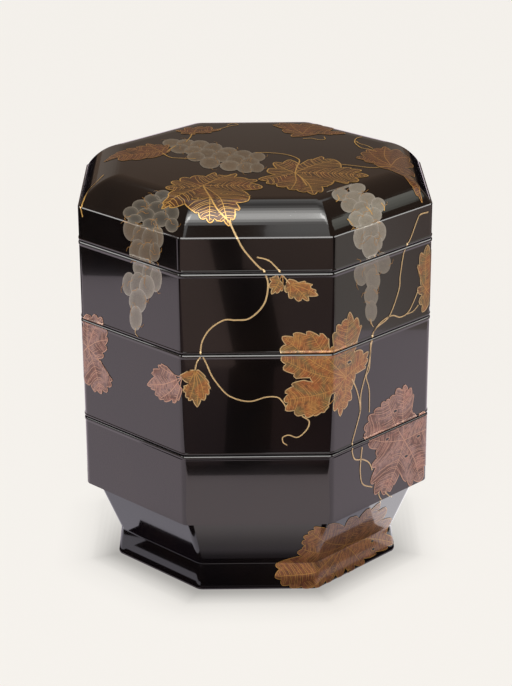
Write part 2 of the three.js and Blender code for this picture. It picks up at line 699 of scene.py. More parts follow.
@dataclass(frozen=True)
class SoftLight:
    """A rectangular light, given by the light that leaves it."""

    name: str
    centre: tuple[float, float, float]
    target: tuple[float, float, float]
    size: tuple[float, float]
    radiance: float
    colour: Colour = (1.0, 0.98, 0.96)
    in_reflections: bool = True

    def build(self) -> bpy.types.Object:
        """Make the light and aim it."""
        light = bpy.data.lights.new(self.name, "AREA")
        light.shape = "RECTANGLE"
        light.size, light.size_y = self.size
        light.energy = self.radiance * math.pi * self.size[0] * self.size[1]
        light.color = self.colour
        lamp = bpy.data.objects.new(self.name, light)
        aim = Vector(self.target) - Vector(self.centre)
        lamp.matrix_world = Matrix.Translation(self.centre) @ aim.to_track_quat("-Z", "Y").to_matrix().to_4x4()
        lamp.visible_glossy = self.in_reflections
        bpy.context.scene.collection.objects.link(lamp)
        return lamp


@dataclass
class Studio:
    """The pale floor, the dim room and the cards and lights around the box."""

    backdrop: Colour = linear(244, 241, 236)
    # Painted reflection: the colour in which the floor glows only where the lacquer mirrors it.
    mirrored_floor: Colour = (0.773, 0.655, 0.742)
    room: Colour = (0.112, 0.076, 0.055)
    floor_half: float = 8.0
    floor_glow: float = 0.874
    floor_white: float = 0.12
    plan: Octagon = field(default_factory=Octagon)
    # Painted shade on the floor: half widths round the foot, each with the share of the floor's light that the
    # painted shade leaves there.
    painted_contact_shade: tuple[tuple[float, float], ...] = (
        (0.094, 0.46), (0.102, 0.50), (0.105, 0.56), (0.108, 0.64), (0.112, 0.75), (0.116, 0.84),
        (0.120, 0.925), (0.125, 0.965), (0.135, 0.99), (0.150, 1.0),
    )
    # How much of the painted shade each corner gets, starting at the corner between sides 0 and 1.
    painted_shade_shares: tuple[float, ...] = (0.95, 0.75, 0.0, 0.3, 0.3, 0.0, 1.0, 1.0)

    def build(self) -> None:
        """Make the room, the floor, the cards and the lights."""
        self.build_room()
        self.build_floor()
        material = self.card_material()
        for card in (*self.front_cards(), *self.side_cards(), *self.high_cards(), *self.foot_cards()):
            card.build(material)
        for light in self.lights():
            light.build()
        bpy.context.scene.view_settings.view_transform = "Standard"

    def build_room(self) -> None:
        """Fill the room with dim warm light."""
        world = bpy.data.worlds.new("dim_room")
        world.use_nodes = True
        world.node_tree.nodes["Background"].inputs["Color"].default_value = (*self.room, 1.0)
        bpy.context.scene.world = world

    def build_floor(self) -> None:
        """Lay the floor, which mostly glows. A painted shade round the foot darkens its glow and its white,
        and the light from above adds the real shade that the box casts.
        """
        material = bpy.data.materials.new("pale_floor")
        material.use_nodes = True
        sheet = NodeSheet(material.node_tree)
        shader = material.node_tree.nodes["Principled BSDF"]
        # The painted shade, a colour on the floor's corners, darkens both the floor's white and its glow.
        shade = sheet.add("VertexColor")
        shade.layer_name = "shade"
        painted_shade_tone = shade.outputs["Color"]
        white = tuple(self.floor_white * channel for channel in self.backdrop)
        sheet.feed(shader.inputs["Base Color"], sheet.multiply(white, painted_shade_tone))
        shader.inputs["Roughness"].default_value = 0.9
        shader.inputs["Specular IOR Level"].default_value = 0.0
        # Painted reflection: rays that the lacquer mirrors see the floor glow in mirrored_floor instead of the
        # backdrop's colour.
        mirrored = sheet.add("LightPath").outputs["Is Glossy Ray"]
        glow = sheet.blend(mirrored, self.backdrop, self.mirrored_floor)
        sheet.feed(shader.inputs["Emission Color"], sheet.multiply(glow, painted_shade_tone))
        shader.inputs["Emission Strength"].default_value = self.floor_glow
        self.floor_mesh(material)

    def floor_mesh(self, material: bpy.types.Material) -> bpy.types.Object:
        """Make the floor as rings round the foot, each corner with its share of the painted shade.

        Args:
            material: The floor's material.

        Returns:
            The floor.
        """
        stops = (*self.painted_contact_shade, (self.floor_half, 1.0))
        corners, tones = [(0.0, 0.0, 0.0)], [1.0]
        for half_width, painted_shade_tone in stops:
            for side, share in enumerate(self.painted_shade_shares):
                out, along = self.plan.axes(side)
                corner = out * half_width + along * half_width * self.plan.slope
                corners.append((corner.x, corner.y, 0.0))
                tones.append((1.0 - share * (1.0 - painted_shade_tone)))
        count = self.plan.sides
        faces = [(0, 1 + side, 1 + (side + 1) % count) for side in range(count)]
        for ring in range(len(stops) - 1):
            first = 1 + ring * count
            for side in range(count):
                following = (side + 1) % count
                faces.append((first + side, first + count + side,
                              first + count + following, first + following))
        floor = add_mesh("pale_floor", corners, faces, [material])
        layer = floor.data.color_attributes.new("shade", "FLOAT_COLOR", "POINT")
        layer.data.foreach_set("color", [channel for t in tones for channel in (t, t, t, 1.0)])
        return floor

    @staticmethod
    def card_material() -> bpy.types.Material:
        """Make the material that glows by a card's own colours."""
        material = bpy.data.materials.new("card_glow")
        material.use_nodes = True
        sheet = NodeSheet(material.node_tree)
        glow = sheet.add("VertexColor")
        glow.layer_name = "glow"
        light = sheet.add("Emission", Color=glow.outputs["Color"], Strength=1.0)
        output = material.node_tree.nodes["Material Output"]
        sheet.feed(output.inputs["Surface"], light.outputs["Emission"])
        return material

    def front_cards(self) -> list[Card]:
        """Give the cards on the floor that the front mirrors: a dark one and two dim warm ones."""
        near, middle, top, far = -0.326, -0.545, -0.80, -1.05
        dark, black, pale = (0.004, 0.004, 0.006), (0.004, 0.003, 0.005), (0.98, 0.83, 0.86)
        return [
            floor_card("front_dark_floor", -2.5, 2.5, (near, dark), (-6.0, dark)),
            Card("front_left_floor", tuple(
                ((-0.6, y, 0.003), (edge, y, 0.003), glow) for y, edge, glow in (
                    (near, -0.024, (0.01, 0.008, 0.009)), (near - 0.02, -0.024, (0.11, 0.075, 0.08)),
                    (middle, -0.020, (0.19, 0.13, 0.13)), (middle - 0.01, -0.014, (0.37, 0.26, 0.235)),
                    (top, -0.032, (0.40, 0.285, 0.25)), (far, -0.052, (0.46, 0.32, 0.28)),
                ))),
            Card("front_right_floor", tuple(
                ((edge, y, 0.003), (0.6, y, 0.003), glow) for y, edge, glow in (
                    (near, 0.012, (0.01, 0.008, 0.009)), (near - 0.02, 0.012, (0.08, 0.045, 0.05)),
                    (middle, 0.020, (0.12, 0.07, 0.065)), (middle - 0.01, 0.030, (0.24, 0.165, 0.155)),
                    (top, 0.018, (0.28, 0.19, 0.165)), (top - 0.01, -0.006, (0.30, 0.21, 0.18)),
                    (far, -0.006, (0.36, 0.26, 0.22)),
                ))),
            floor_card("front_near_floor", -0.13, 0.13, (-0.232, pale), (near, pale)),
            Card("front_black_line", tuple(
                ((-0.6, y, 0.0035), (0.6, y, 0.0035), black) for y in (near, near - 0.016))),
        ]

    def side_cards(self) -> list[Card]:
        """Give the cards on the floor that the slanting sides and the lid's edges mirror."""
        black, dim, lift = (0.004, 0.003, 0.004), (0.30, 0.24, 0.22), 0.002
        right = ((-0.4, (0.50, 0.44, 0.40)), (-0.06, (0.52, 0.46, 0.42)), (0.02, (0.40, 0.31, 0.28)),
                 (0.5, (0.40, 0.31, 0.28)))
        return [
            Card("left_dark_floor", tuple(
                ((x, y, lift), (-4.0, y, lift), black) for x, y in (
                    (-0.735, 0.5), (-0.730, 0.01), (-0.722, -0.07), (-0.72, -0.16)))),
            Card("right_grey_floor", tuple(
                ((0.57, y, lift), (4.0, y, lift), glow) for y, glow in right)),
            Card("back_left_dark_floor", (
                ((-0.35, 0.25, lift), (-6.0, 0.25, lift), black),
                ((-1.1, 8.0, lift), (-6.0, 8.0, lift), black),
            )),
            Card("back_right_dark_floor", (
                ((0.35, 0.25, lift), (6.0, 0.25, lift), black),
                ((1.1, 8.0, lift), (6.0, 8.0, lift), black),
            )),
            Card("left_dim_side", (
                ((-0.9, -0.125, 0.0), (-0.9, -0.4, 0.0), dim),
                ((-0.9, -0.125, 0.4), (-0.9, -0.4, 0.4), dim),
            )),
        ]

    def high_cards(self) -> list[Card]:
        """Give the cards that the lid and the lit edges mirror: a long softbox, panels, the rear wall."""
        height = 1.55
        softbox = (
            (1.60, 0.35), (1.20, 0.50), (0.55, 0.25), (0.30, 0.75), (0.10, 2.3),
            (-0.12, 3.9), (-0.25, 4.2), (-0.40, 2.8), (-0.50, 1.1), (-0.63, 0.95),
        )
        panel = ((-0.64, height, 0.9), (-1.02, height, 0.88), (-1.30, 1.15, 0.7))
        wall = ((0.4, (0.19, 0.155, 0.13)), (1.0, (0.185, 0.150, 0.125)), (1.22, (0.115, 0.078, 0.057)))
        return [
            Card("overhead_softbox", tuple(
                ((-0.55, y, height), (0.55, y, height), self.warm(glow)) for y, glow in softbox)),
            *(Card(f"softbox_end_{i}", tuple(
                ((left, y, height - 0.01), (right, y, height - 0.01), self.warm(8.0))
                for y in (-0.10, -0.32)))
                for i, (left, right) in enumerate(((-0.36, -0.095), (0.095, 0.36)))),
            *(Card(f"front_panel_{i}", tuple(
                ((left, y, z), (right, y, z), self.warm(glow)) for y, z, glow in panel))
                for i, (left, right) in enumerate(((-0.5, -0.098), (0.028, 0.5)))),
            *self.horizon(),
            Card("right_panel", (
                ((1.15, 0.05, 1.32), (1.15, 0.75, 1.32), (0.9, 0.9, 0.8)),
                ((1.35, 0.05, 1.05), (1.35, 0.75, 1.05), (0.5, 0.5, 0.44)),
            )),
            Card("rear_wall", tuple(((-3.0, 3.0, z), (3.0, 3.0, z), glow) for z, glow in wall)),
        ]

    @staticmethod
    def warm(glow: float) -> Colour:
        """Give the faintly warm white of a lamp that glows this much."""
        return glow, 0.985 * glow, 0.955 * glow

    def horizon(self) -> list[Card]:
        """Give the bright cards low around the box that only its narrow lit edges mirror."""
        front, side = self.warm(4.6), self.warm(3.8)
        return [
            Card("front_horizon", tuple(
                ((-2.2, -2.6, z), (2.2, -2.6, z), front) for z in (0.12, 1.7))),
            *(Card(f"{name}_horizon", tuple(
                ((x, -1.6, z), (x, 1.2, z), side) for z in (0.12, 1.1)))
                for name, x in (("left", -2.6), ("right", 2.6))),
        ]

    def foot_cards(self) -> list[Card]:
        """Give the cards that the foot mirrors: a painted shade of the floor round the foot, darkest at the
        foot and lighter outwards, and black bands beyond it.
        """
        black = (0.006, 0.004, 0.008)
        front = (
            (0.100, black), (0.106, (0.05, 0.04, 0.05)), (0.110, (0.09, 0.08, 0.09)),
            (0.114, (0.26, 0.23, 0.25)), (0.118, (0.31, 0.28, 0.29)), (0.122, (0.40, 0.36, 0.37)),
            (0.127, (0.56, 0.50, 0.51)), (0.132, (0.70, 0.63, 0.64)), (0.140, (0.80, 0.72, 0.73)),
            (0.143, black), (0.2300, black), (0.2312, (0.80, 0.69, 0.74)),
        )
        grey, pale = (0.56, 0.53, 0.60), (1.5, 1.45, 1.52)
        slant = (
            (0.100, black), (0.1115, black), (0.1122, grey), (0.1245, grey), (0.1255, black),
            (0.196, black), (0.200, (0.7, 0.6, 0.68)),
        )
        flank = (
            (0.100, black), (0.1070, black), (0.1077, grey), (0.150, grey), (0.1515, black),
            (0.194, black), (0.198, (0.7, 0.6, 0.68)),
        )
        bright = tuple((place, pale if glow is grey else glow) for place, glow in flank)
        tables = (front, slant, bright, flank, flank, flank, flank, slant)
        low, high = 0.0026, 0.0108
        cards = []
        for side, stops in enumerate(tables):
            levels = [(half_width, 0.0015, glow) for half_width, glow in stops]
            cards.append(self.ring_card(f"foot_shade_{side}", side, levels))
        cards.append(self.ring_card("foot_strip", 0, [(0.104, low, black), (0.104, high, black)]))
        return cards

    def ring_card(
        self, name: str, side: int, levels: Sequence[tuple[float, float, Colour]]
    ) -> Card:
        """Make a card that runs along one side of the box.

        Args:
            name: Its name.
            side: The side that it runs along.
            levels: Half widths and heights of its lines, each with its glow.

        Returns:
            The card, mitred to meet its neighbours.
        """
        out, along = self.plan.axes(side)
        lines = []
        for half_width, height, glow in levels:
            half = along * half_width * self.plan.slope
            left, right = ((*(out * half_width + end), height) for end in (-half, half))
            lines.append((left, right, glow))
        return Card(name, tuple(lines))

    def lights(self) -> list[SoftLight | SunLight]:
        """Give the even light from above and the fill for the powders."""
        return [
            SunLight("light_from_above", 2.6, math.radians(10), (math.radians(-2), math.radians(1))),
            SoftLight("front_fill", (-0.6, -3.5, 2.1), (0.0, 0.0, 0.15), (2.9, 2.0), 4.6,
                      in_reflections=False),
        ]


@dataclass(frozen=True)
class Camera:
    """The camera, at the photograph's angle and distance."""

    aim: tuple[float, float, float] = (0.0006, 0.0, 0.1463)
    distance: float = 1.5
    elevation: float = math.radians(21.29)
    turn: float = math.radians(0.633)
    roll: float = math.radians(-0.282)
    focal_length: float = 109.64
    sensor: float = 36.0
    frame: tuple[int, int] = (512, 686)

    @property
    def place(self) -> Vector:
        """Give the camera's place."""
        flat = self.distance * math.cos(self.elevation)
        offset = (-flat * math.sin(self.turn), -flat * math.cos(self.turn),
                  self.distance * math.sin(self.elevation))
        return Vector(self.aim) + Vector(offset)

    @property
    def axes(self) -> Matrix:
        """Give the directions of its frame as columns: right, up and backwards."""
        forward = (Vector(self.aim) - self.place).normalized()
        right = forward.cross(Vector((0, 0, 1))).normalized()
        level = Matrix((right, right.cross(forward), -forward)).transposed()
        return level @ Matrix.Rotation(self.roll, 3, "Z")

    def ray(self, pixel: tuple[float, float]) -> Vector:
        """Give the direction in which the camera sees a pixel of the photograph."""
        reach = self.focal_length / self.sensor * max(self.frame)
        across, down = pixel[0] - self.frame[0] / 2, pixel[1] - self.frame[1] / 2
        return (self.axes @ Vector((across, -down, -reach))).normalized()

    def build(self) -> bpy.types.Object:
        """Make the camera and give it to the scene."""
        lens = bpy.data.cameras.new("camera")
        lens.lens = self.focal_length
        lens.sensor_width = self.sensor
        lens.clip_end = 50.0
        camera = bpy.data.objects.new("camera", lens)
        camera.matrix_world = Matrix.Translation(self.place) @ self.axes.to_4x4()
        bpy.context.scene.collection.objects.link(camera)
        bpy.context.scene.camera = camera
        return camera


class Chart(Enum):
    """The two ways in which the outside of the box is laid flat for drawing."""

    WALL = "around the box, and up"
    TOP = "seen from above, with the shoulder and the walls opened outwards"


class Skin:
    """The outside of the box laid flat, and the way back from a flat place to the bodies."""

    JOINT_NODES = ("bottom_tier", "middle_tier", "top_tier", "lid")

    def __init__(
        self, bodies: dict[str, bpy.types.Object], rims: Sequence[float], foot: FootedTray, lid: Lid,
        camera: Camera,
    ) -> None:
        """Measure the box.

        Args:
            bodies: The four bodies by node.
            rims: The heights of the three rims that carry a piece, from below.
            foot: The bottom tier.
            lid: The lid.
            camera: The camera whose pixels place the ornament.
        """
        self.plan = lid.plan
        self.rims = tuple(rims)
        self.joint = lid.joint
        self.camera = camera
        self.pitch = 2 * self.plan.half_width * self.plan.slope
        self.line = self.bare_line(foot, lid)
        self.flat_edge = lid.plan.half_width - lid.ledge - lid.reach
        self.flat_place = self.line[-1][0]
        self.trees = {node: self.tree([body]) for node, body in bodies.items()}
        self.whole = self.tree(list(bodies.values()))

    @staticmethod
    def tree(bodies: Sequence[bpy.types.Object]) -> BVHTree:
        """Make a search tree over some bodies."""
        vertices, faces = [], []
        for body in bodies:
            start = len(vertices)
            vertices += [vertex.co.copy() for vertex in body.data.vertices]
            faces += [[start + i for i in polygon.vertices] for polygon in body.data.polygons]
        return BVHTree.FromPolygons(vertices, faces)

    @staticmethod
    def bare_line(foot: FootedTray, lid: Lid) -> list[tuple[float, float, float]]:
        """Give the outside profile without its mouldings.

        Returns:
            For each point its place along the profile, its half width and its height. The place
            equals the height on the upright walls.
        """
        wall = foot.plan.half_width
        bare = Profile()
        bare.to(foot.base, 0.0)
        bare.to(foot.crease, foot.band_height)
        bare.to(*foot.cove)
        bare.to(wall, foot.wall_bottom)
        bare.to(wall, lid.rim)
        shoulder = lid.shoulder(wall - lid.ledge, lid.rim + lid.rise)
        bare.to(*shoulder[0])
        bare.curve(*shoulder[1:])
        points = [corner for corner, _, _ in bare.corners]
        lengths = [0.0]
        for start, end in zip(points, points[1:]):
            lengths.append(lengths[-1] + (end - start).length)
        shift = next(
            foot.wall_bottom - length for length, point in zip(lengths, points)
            if abs(point.y - foot.wall_bottom) < 1e-9
        )
        return [(length + shift, point.x, point.y) for length, point in zip(lengths, points)]

    def level(self, place: float) -> tuple[float, float]:
        """Give the half width and the height at a place along the bare profile."""
        for (start, *low), (end, *high) in zip(self.line, self.line[1:]):
            if place <= end:
                share = max((place - start) / (end - start), 0.0) if end > start else 0.0
                return tuple(Vector(low).lerp(Vector(high), share))
        return self.line[-1][1:]

    def place_along(self, half_width: float, height: float) -> float:
        """Give the place along the bare profile that is nearest to a half width and height."""
        best = (math.inf, 0.0)
        point = Vector((half_width, height))
        for (start, *low), (end, *high) in zip(self.line, self.line[1:]):
            foot_point, share = intersect_point_line(point, Vector(low), Vector(high))
            share = min(max(share, 0.0), 1.0)
            gap = (Vector(low).lerp(Vector(high), share) - point).length
            best = min(best, (gap, start + share * (end - start)))
        return best[1]

    def side_of(self, place: Vector) -> tuple[int, float, float]:
        """Give the side that a place in plan belongs to.

        Returns:
            The side from -3 to 4, how far out the place is and how far along the side.
        """
        found = []
        for side in range(-3, 5):
            out, along = self.plan.axes(side)
            found.append((place.dot(out), side, place.dot(along)))
        half_width, side, lateral = max(found)
        return side, half_width, lateral

    def to_space(self, chart: Chart, place: Vector) -> Vector:
        """Give the point of the bare box at a place of a chart."""
        if chart is Chart.WALL:
            side = round(place.x / self.pitch)
            half_width, height = self.level(place.y)
            out, along = self.plan.axes(side)
            share = (place.x - side * self.pitch) / self.plan.half_width
            flat = out * half_width + along * share * half_width
        else:
            side, reach, lateral = self.side_of(place)
            if reach <= self.flat_edge:
                return Vector((*place, self.line[-1][2]))
            half_width, height = self.level(self.flat_place - (reach - self.flat_edge))
            out, along = self.plan.axes(side)
            flat = out * half_width + along * lateral * half_width / reach
        return Vector((*flat, height))

    def to_chart(self, chart: Chart, point: Vector) -> Vector:
        """Give the place of a chart for a point on the box."""
        side, half_width, lateral = self.side_of(point.xy)
        if chart is Chart.WALL:
            around = side * self.pitch + lateral * self.plan.half_width / half_width
            return Vector((around, self.place_along(half_width, point.z)))
        if half_width <= self.flat_edge:
            return point.xy
        reach = self.flat_edge + self.flat_place - self.place_along(half_width, point.z)
        return point.xy * (reach / half_width)

    def pixel(self, chart: Chart, pixel: tuple[float, float], beyond: float = 0.0) -> Vector:
        """Give the place of a chart that shows at a pixel of the photograph.

        Args:
            chart: The chart.
            pixel: The pixel; one beside the box counts as the box's edge nearest to it.
            beyond: How much further round the box the place is.

        Returns:
            The place on the chart.
        """
        middle = Vector(self.camera.frame) / 2
        for step in range(60):
            inward = (middle - Vector(pixel)).normalized() * 0.25 * step
            spot = Vector(pixel) + inward
            hit = self.whole.ray_cast(self.camera.place, self.camera.ray(tuple(spot)))[0]
            if hit is not None:
                return self.to_chart(chart, hit) + Vector((beyond, 0.0))
        raise ValueError(f"no part of the box near pixel {pixel}")

    def node_at(self, place: float) -> str | None:
        """Name the node at a place along the profile, or None at a joint's bare edges."""
        for rim, node in zip(self.rims, self.JOINT_NODES):
            if place <= rim - self.joint.bare_below:
                return node
            if place < rim + self.joint.bare_above:
                return None
        return self.JOINT_NODES[-1]

    def cuts(self) -> list[float]:
        """Give the places at which drawn shapes are cut, at the mouldings and the lid's edge."""
        below, above = self.joint.bare_below, self.joint.bare_above
        steps = (-0.0026, -0.0019, -below, above, 0.0014, 0.0017, 0.0022, 0.0026)
        cuts = [rim + step for rim in self.rims for step in steps]
        edge = self.rims[-1] + 0.025
        return cuts + [edge - 0.0007, edge, edge + 0.0008, self.line[1][0]]


class Medium(Enum):
    """What a part of the ornament is drawn with: its name, and a slot name that the script doesn't use."""

    LEAF_POWDER = ("leaf_powder", "gold_powder")
    GOLD_LINE = ("gold_line", "gold_powder")
    GRAPE_POWDER = ("grape_powder", "silver_powder")
    SILVER_LINE = ("silver_line", "silver_powder")


class Canvas:
    """Collects flat drawn shapes and lays them on the bodies, one piece for each node and medium."""

    def __init__(self, skin: Skin) -> None:
        """Start an empty drawing.

        Args:
            skin: The outside of the box.
        """
        self.skin = skin
        self.sheets: dict[tuple[Medium, Chart], bmesh.types.BMesh] = {}

    def sheet(self, medium: Medium, chart: Chart) -> bmesh.types.BMesh:
        """Give the flat mesh of a medium on a chart."""
        key = (medium, chart)
        if key not in self.sheets:
            self.sheets[key] = bmesh.new()
            self.sheets[key].verts.layers.float_color.new("tint")
        return self.sheets[key]

    def add(
        self, medium: Medium, chart: Chart, places: Sequence[Vector], faces: Sequence[Sequence[int]],
        tints: Sequence[Colour], lift: float,
    ) -> None:
        """Add a flat shape.

        Args:
            medium: What it is drawn with.
            chart: The chart of its places.
            places: Its points.
            faces: Its faces, anticlockwise.
            tints: A colour for each point.
            lift: How far it stands off the body.
        """
        sheet = self.sheet(medium, chart)
        layer = sheet.verts.layers.float_color["tint"]
        corners = []
        for place, tint in zip(places, tints):
            corner = sheet.verts.new((place.x, place.y, lift))
            corner[layer] = (*tint, 1.0)
            corners.append(corner)
        for face in faces:
            sheet.faces.new([corners[i] for i in face])

    def patch(
        self, medium: Medium, chart: Chart, outline: Sequence[Vector],
        tint: Callable[[Vector], Colour], lift: float, spacing: float = 0.0015,
    ) -> None:
        """Fill an outline with small triangles.

        Args:
            medium: What it is drawn with.
            chart: The chart of its places.
            outline: The closed outline.
            tint: Gives the colour at a place.
            lift: How far it stands off the body.
            spacing: The distance between the points inside.
        """
        low = Vector(min(p[i] for p in outline) for i in range(2))
        high = Vector(max(p[i] for p in outline) for i in range(2))
        points = list(outline)
        rows = int((high.y - low.y) / (0.87 * spacing)) + 1
        columns = int((high.x - low.x) / spacing) + 1
        for row in range(rows):
            for column in range(columns):
                shift = 0.5 * (row % 2) + column
                points.append(low + Vector((shift * spacing, row * 0.87 * spacing)))
        ring = list(range(len(outline)))
        places, _, faces, *_ = delaunay_2d_cdt(points, [], [ring], 1, 1e-7)
        self.add(medium, chart, places, faces, [tint(place) for place in places], lift)

    def line(
        self, medium: Medium, chart: Chart, path: Sequence[Vector], width: float,
        tint: Colour, lift: float, end_width: float | None = None,
    ) -> None:
        """Draw a line as a thin flat ribbon.

        Args:
            medium: What it is drawn with.
            chart: The chart of its places.
            path: Its points.
            width: Its width at the start.
            tint: Its colour.
            lift: How far it stands off the body.
            end_width: Its width at the end, where that differs.
        """
        if len(path) < 2:
            return
        end_width = width if end_width is None else end_width
        places = []
        last = len(path) - 1
        for i, place in enumerate(path):
            ahead = path[min(i + 1, last)] - path[max(i - 1, 0)]
            if ahead.length < 1e-9:
                ahead = Vector((1.0, 0.0))
            half = (width + (end_width - width) * i / last) / 2
            aside = Vector((-ahead.y, ahead.x)).normalized() * half
            places += [place - aside, place + aside]
        faces = [(2 * i, 2 * i + 2, 2 * i + 3, 2 * i + 1) for i in range(last)]
        self.add(medium, chart, places, faces, [tint] * len(places), lift)

    def lay(self, materials: dict[Medium, bpy.types.Material]) -> list[bpy.types.Object]:
        """Lay the whole drawing on the bodies.

        Args:
            materials: The material of each medium.

        Returns:
            The new pieces.
        """
        shapes: dict[tuple[str, Medium], tuple[list, list, list]] = {}
        for (medium, chart), sheet in self.sheets.items():
            if chart is Chart.WALL:
                for cut in self.skin.cuts():
                    geometry = [*sheet.verts, *sheet.edges, *sheet.faces]
                    bmesh.ops.bisect_plane(
                        sheet, geom=geometry, dist=1e-8, plane_co=(0, cut, 0), plane_no=(0, 1, 0)
                    )
            self.collect(medium, chart, sheet, shapes)
            sheet.free()
        pieces = []
        for (node, medium), (vertices, faces, tints) in sorted(
            shapes.items(), key=lambda item: (item[0][0], item[0][1].value)
        ):
            name, slot = medium.value
            piece = add_mesh(f"{node}_{name}", vertices, faces, [materials[medium]])
            layer = piece.data.color_attributes.new("tint", "FLOAT_COLOR", "POINT")
            layer.data.foreach_set("color", [channel for tint in tints for channel in tint])
            piece.data.shade_smooth()
            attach(piece, "root")
            LOG.info("%s: %d faces", piece.name, len(faces))
            pieces.append(piece)
        return pieces

    def collect(
        self, medium: Medium, chart: Chart, sheet: bmesh.types.BMesh,
        shapes: dict[tuple[str, Medium], tuple[list, list, list]],
    ) -> None:
        """Sort a flat mesh by node and bring its points to the bodies.

        Args:
            medium: What it is drawn with.
            chart: Its chart.
            sheet: The flat mesh.
            shapes: Takes the vertices, faces and colours for each node and medium.
        """
        layer = sheet.verts.layers.float_color["tint"]
        numbers: dict[tuple[str, int], int] = {}
        sheet.verts.index_update()
        for face in sheet.faces:
            node = "lid"
            if chart is Chart.WALL:
                node = self.skin.node_at(face.calc_center_median().y)
            if node is None:
                continue
            vertices, faces, tints = shapes.setdefault((node, medium), ([], [], []))
            corners = []
            for corner in face.verts:
                key = (node, corner.index)
                if key not in numbers:
                    numbers[key] = len(vertices)
                    vertices.append(self.landed(node, chart, corner.co))
                    tints.append(tuple(corner[layer]))
                corners.append(numbers[key])
            faces.append(corners)

    def landed(self, node: str, chart: Chart, place: Vector) -> Vector:
        """Bring a flat point to a body, standing off by its lift."""
        guess = self.skin.to_space(chart, place.xy)
        point, normal, _, _ = self.skin.trees[node].find_nearest(guess)
        return point + normal * place.z


def smooth_path(points: Sequence[Vector], spacing: float = 0.001) -> list[Vector]:
    """Draw a smooth line through some points.

    Args:
        points: The points.
        spacing: The distance between the points of the result.

    Returns:
        The line's points, with the given ones among them.
    """
    ends = [points[0] * 2 - points[1], *points, points[-1] * 2 - points[-2]]
    path = [points[0]]
    for before, start, end, after in zip(ends, ends[1:], ends[2:], ends[3:]):
        steps = max(int((end - start).length / spacing), 1)
        for step in range(1, steps + 1):
            t = step / steps
            path.append(0.5 * (
                2 * start + (end - before) * t + (2 * before - 5 * start + 4 * end - after) * t**2
                + (3 * start - before - 3 * end + after) * t**3
            ))
    return path


def inside(outline: Sequence[Vector], point: Vector) -> bool:
    """Tell whether a point lies inside a closed outline."""
    crossings = False
    for start, end in zip(outline, [*outline[1:], outline[0]]):
        if (start.y > point.y) != (end.y > point.y):
            reach = start.x + (point.y - start.y) / (end.y - start.y) * (end.x - start.x)
            crossings ^= point.x < reach
    return crossings


class Edge(Enum):
    """What a point of a leaf's outline is."""

    TIP = "the tip of a lobe, which a main vein runs to"
    TOOTH = "a tooth"
    SINUS = "a smooth bay between two lobes"


@dataclass(frozen=True)
class Mark:
    """A point of a leaf's outline, by the pixel of the photograph that shows it."""

    x: float
    y: float
    edge: Edge
    beyond: float = 0.0


def tip(x: float, y: float, beyond: float = 0.0) -> Mark:
    """Give a lobe's tip."""
    return Mark(x, y, Edge.TIP, beyond)


def tooth(x: float, y: float, beyond: float = 0.0) -> Mark:
    """Give a tooth."""
    return Mark(x, y, Edge.TOOTH, beyond)


def bay(x: float, y: float, beyond: float = 0.0) -> Mark:
    """Give a bay between two lobes."""
    return Mark(x, y, Edge.SINUS, beyond)


class Powder(Enum):
    """The metal powders of the ornament, as linear colours."""

    BROWN = linear(64, 40, 23)
    UMBER = linear(92, 56, 30)
    RUSSET = linear(104, 58, 36)
    TAWNY = linear(142, 90, 54)
    COPPER = linear(160, 94, 48)
    AMBER = linear(168, 118, 62)
    GREEN_GOLD = linear(124, 106, 62)
    # The rose and blush powders are the leaf powder's own colour, paled and pinked by a painted reflection.
    ROSE_SHEEN = linear(166, 116, 98)
    BLUSH_SHEEN = linear(154, 120, 110)
    PALE = linear(214, 184, 134)
    HONEY = linear(196, 146, 82)
    # The dusk line is gold powder, paled and pinked by a painted reflection.
    DUSK_SHEEN = linear(204, 158, 130)
    GOLD = linear(226, 178, 96)
    OLD_GOLD = linear(176, 130, 66)
    TAUPE = linear(108, 92, 72)
    ASH = linear(76, 72, 65)
    PEARL = linear(122, 114, 103)
    SILVER = linear(142, 134, 120)
    MOON = linear(172, 166, 154)


@dataclass(frozen=True)
class LeafStyle:
    """How a leaf is coloured and lined."""

    powders: tuple[Powder, ...] = (Powder.COPPER, Powder.AMBER, Powder.GREEN_GOLD)
    line: Powder = Powder.PALE
    vein: Powder = Powder.HONEY
    outline_width: float = 0.0006
    main_width: float = 0.0006
    vein_width: float = 0.0004
    vein_spacing: float = 0.0022


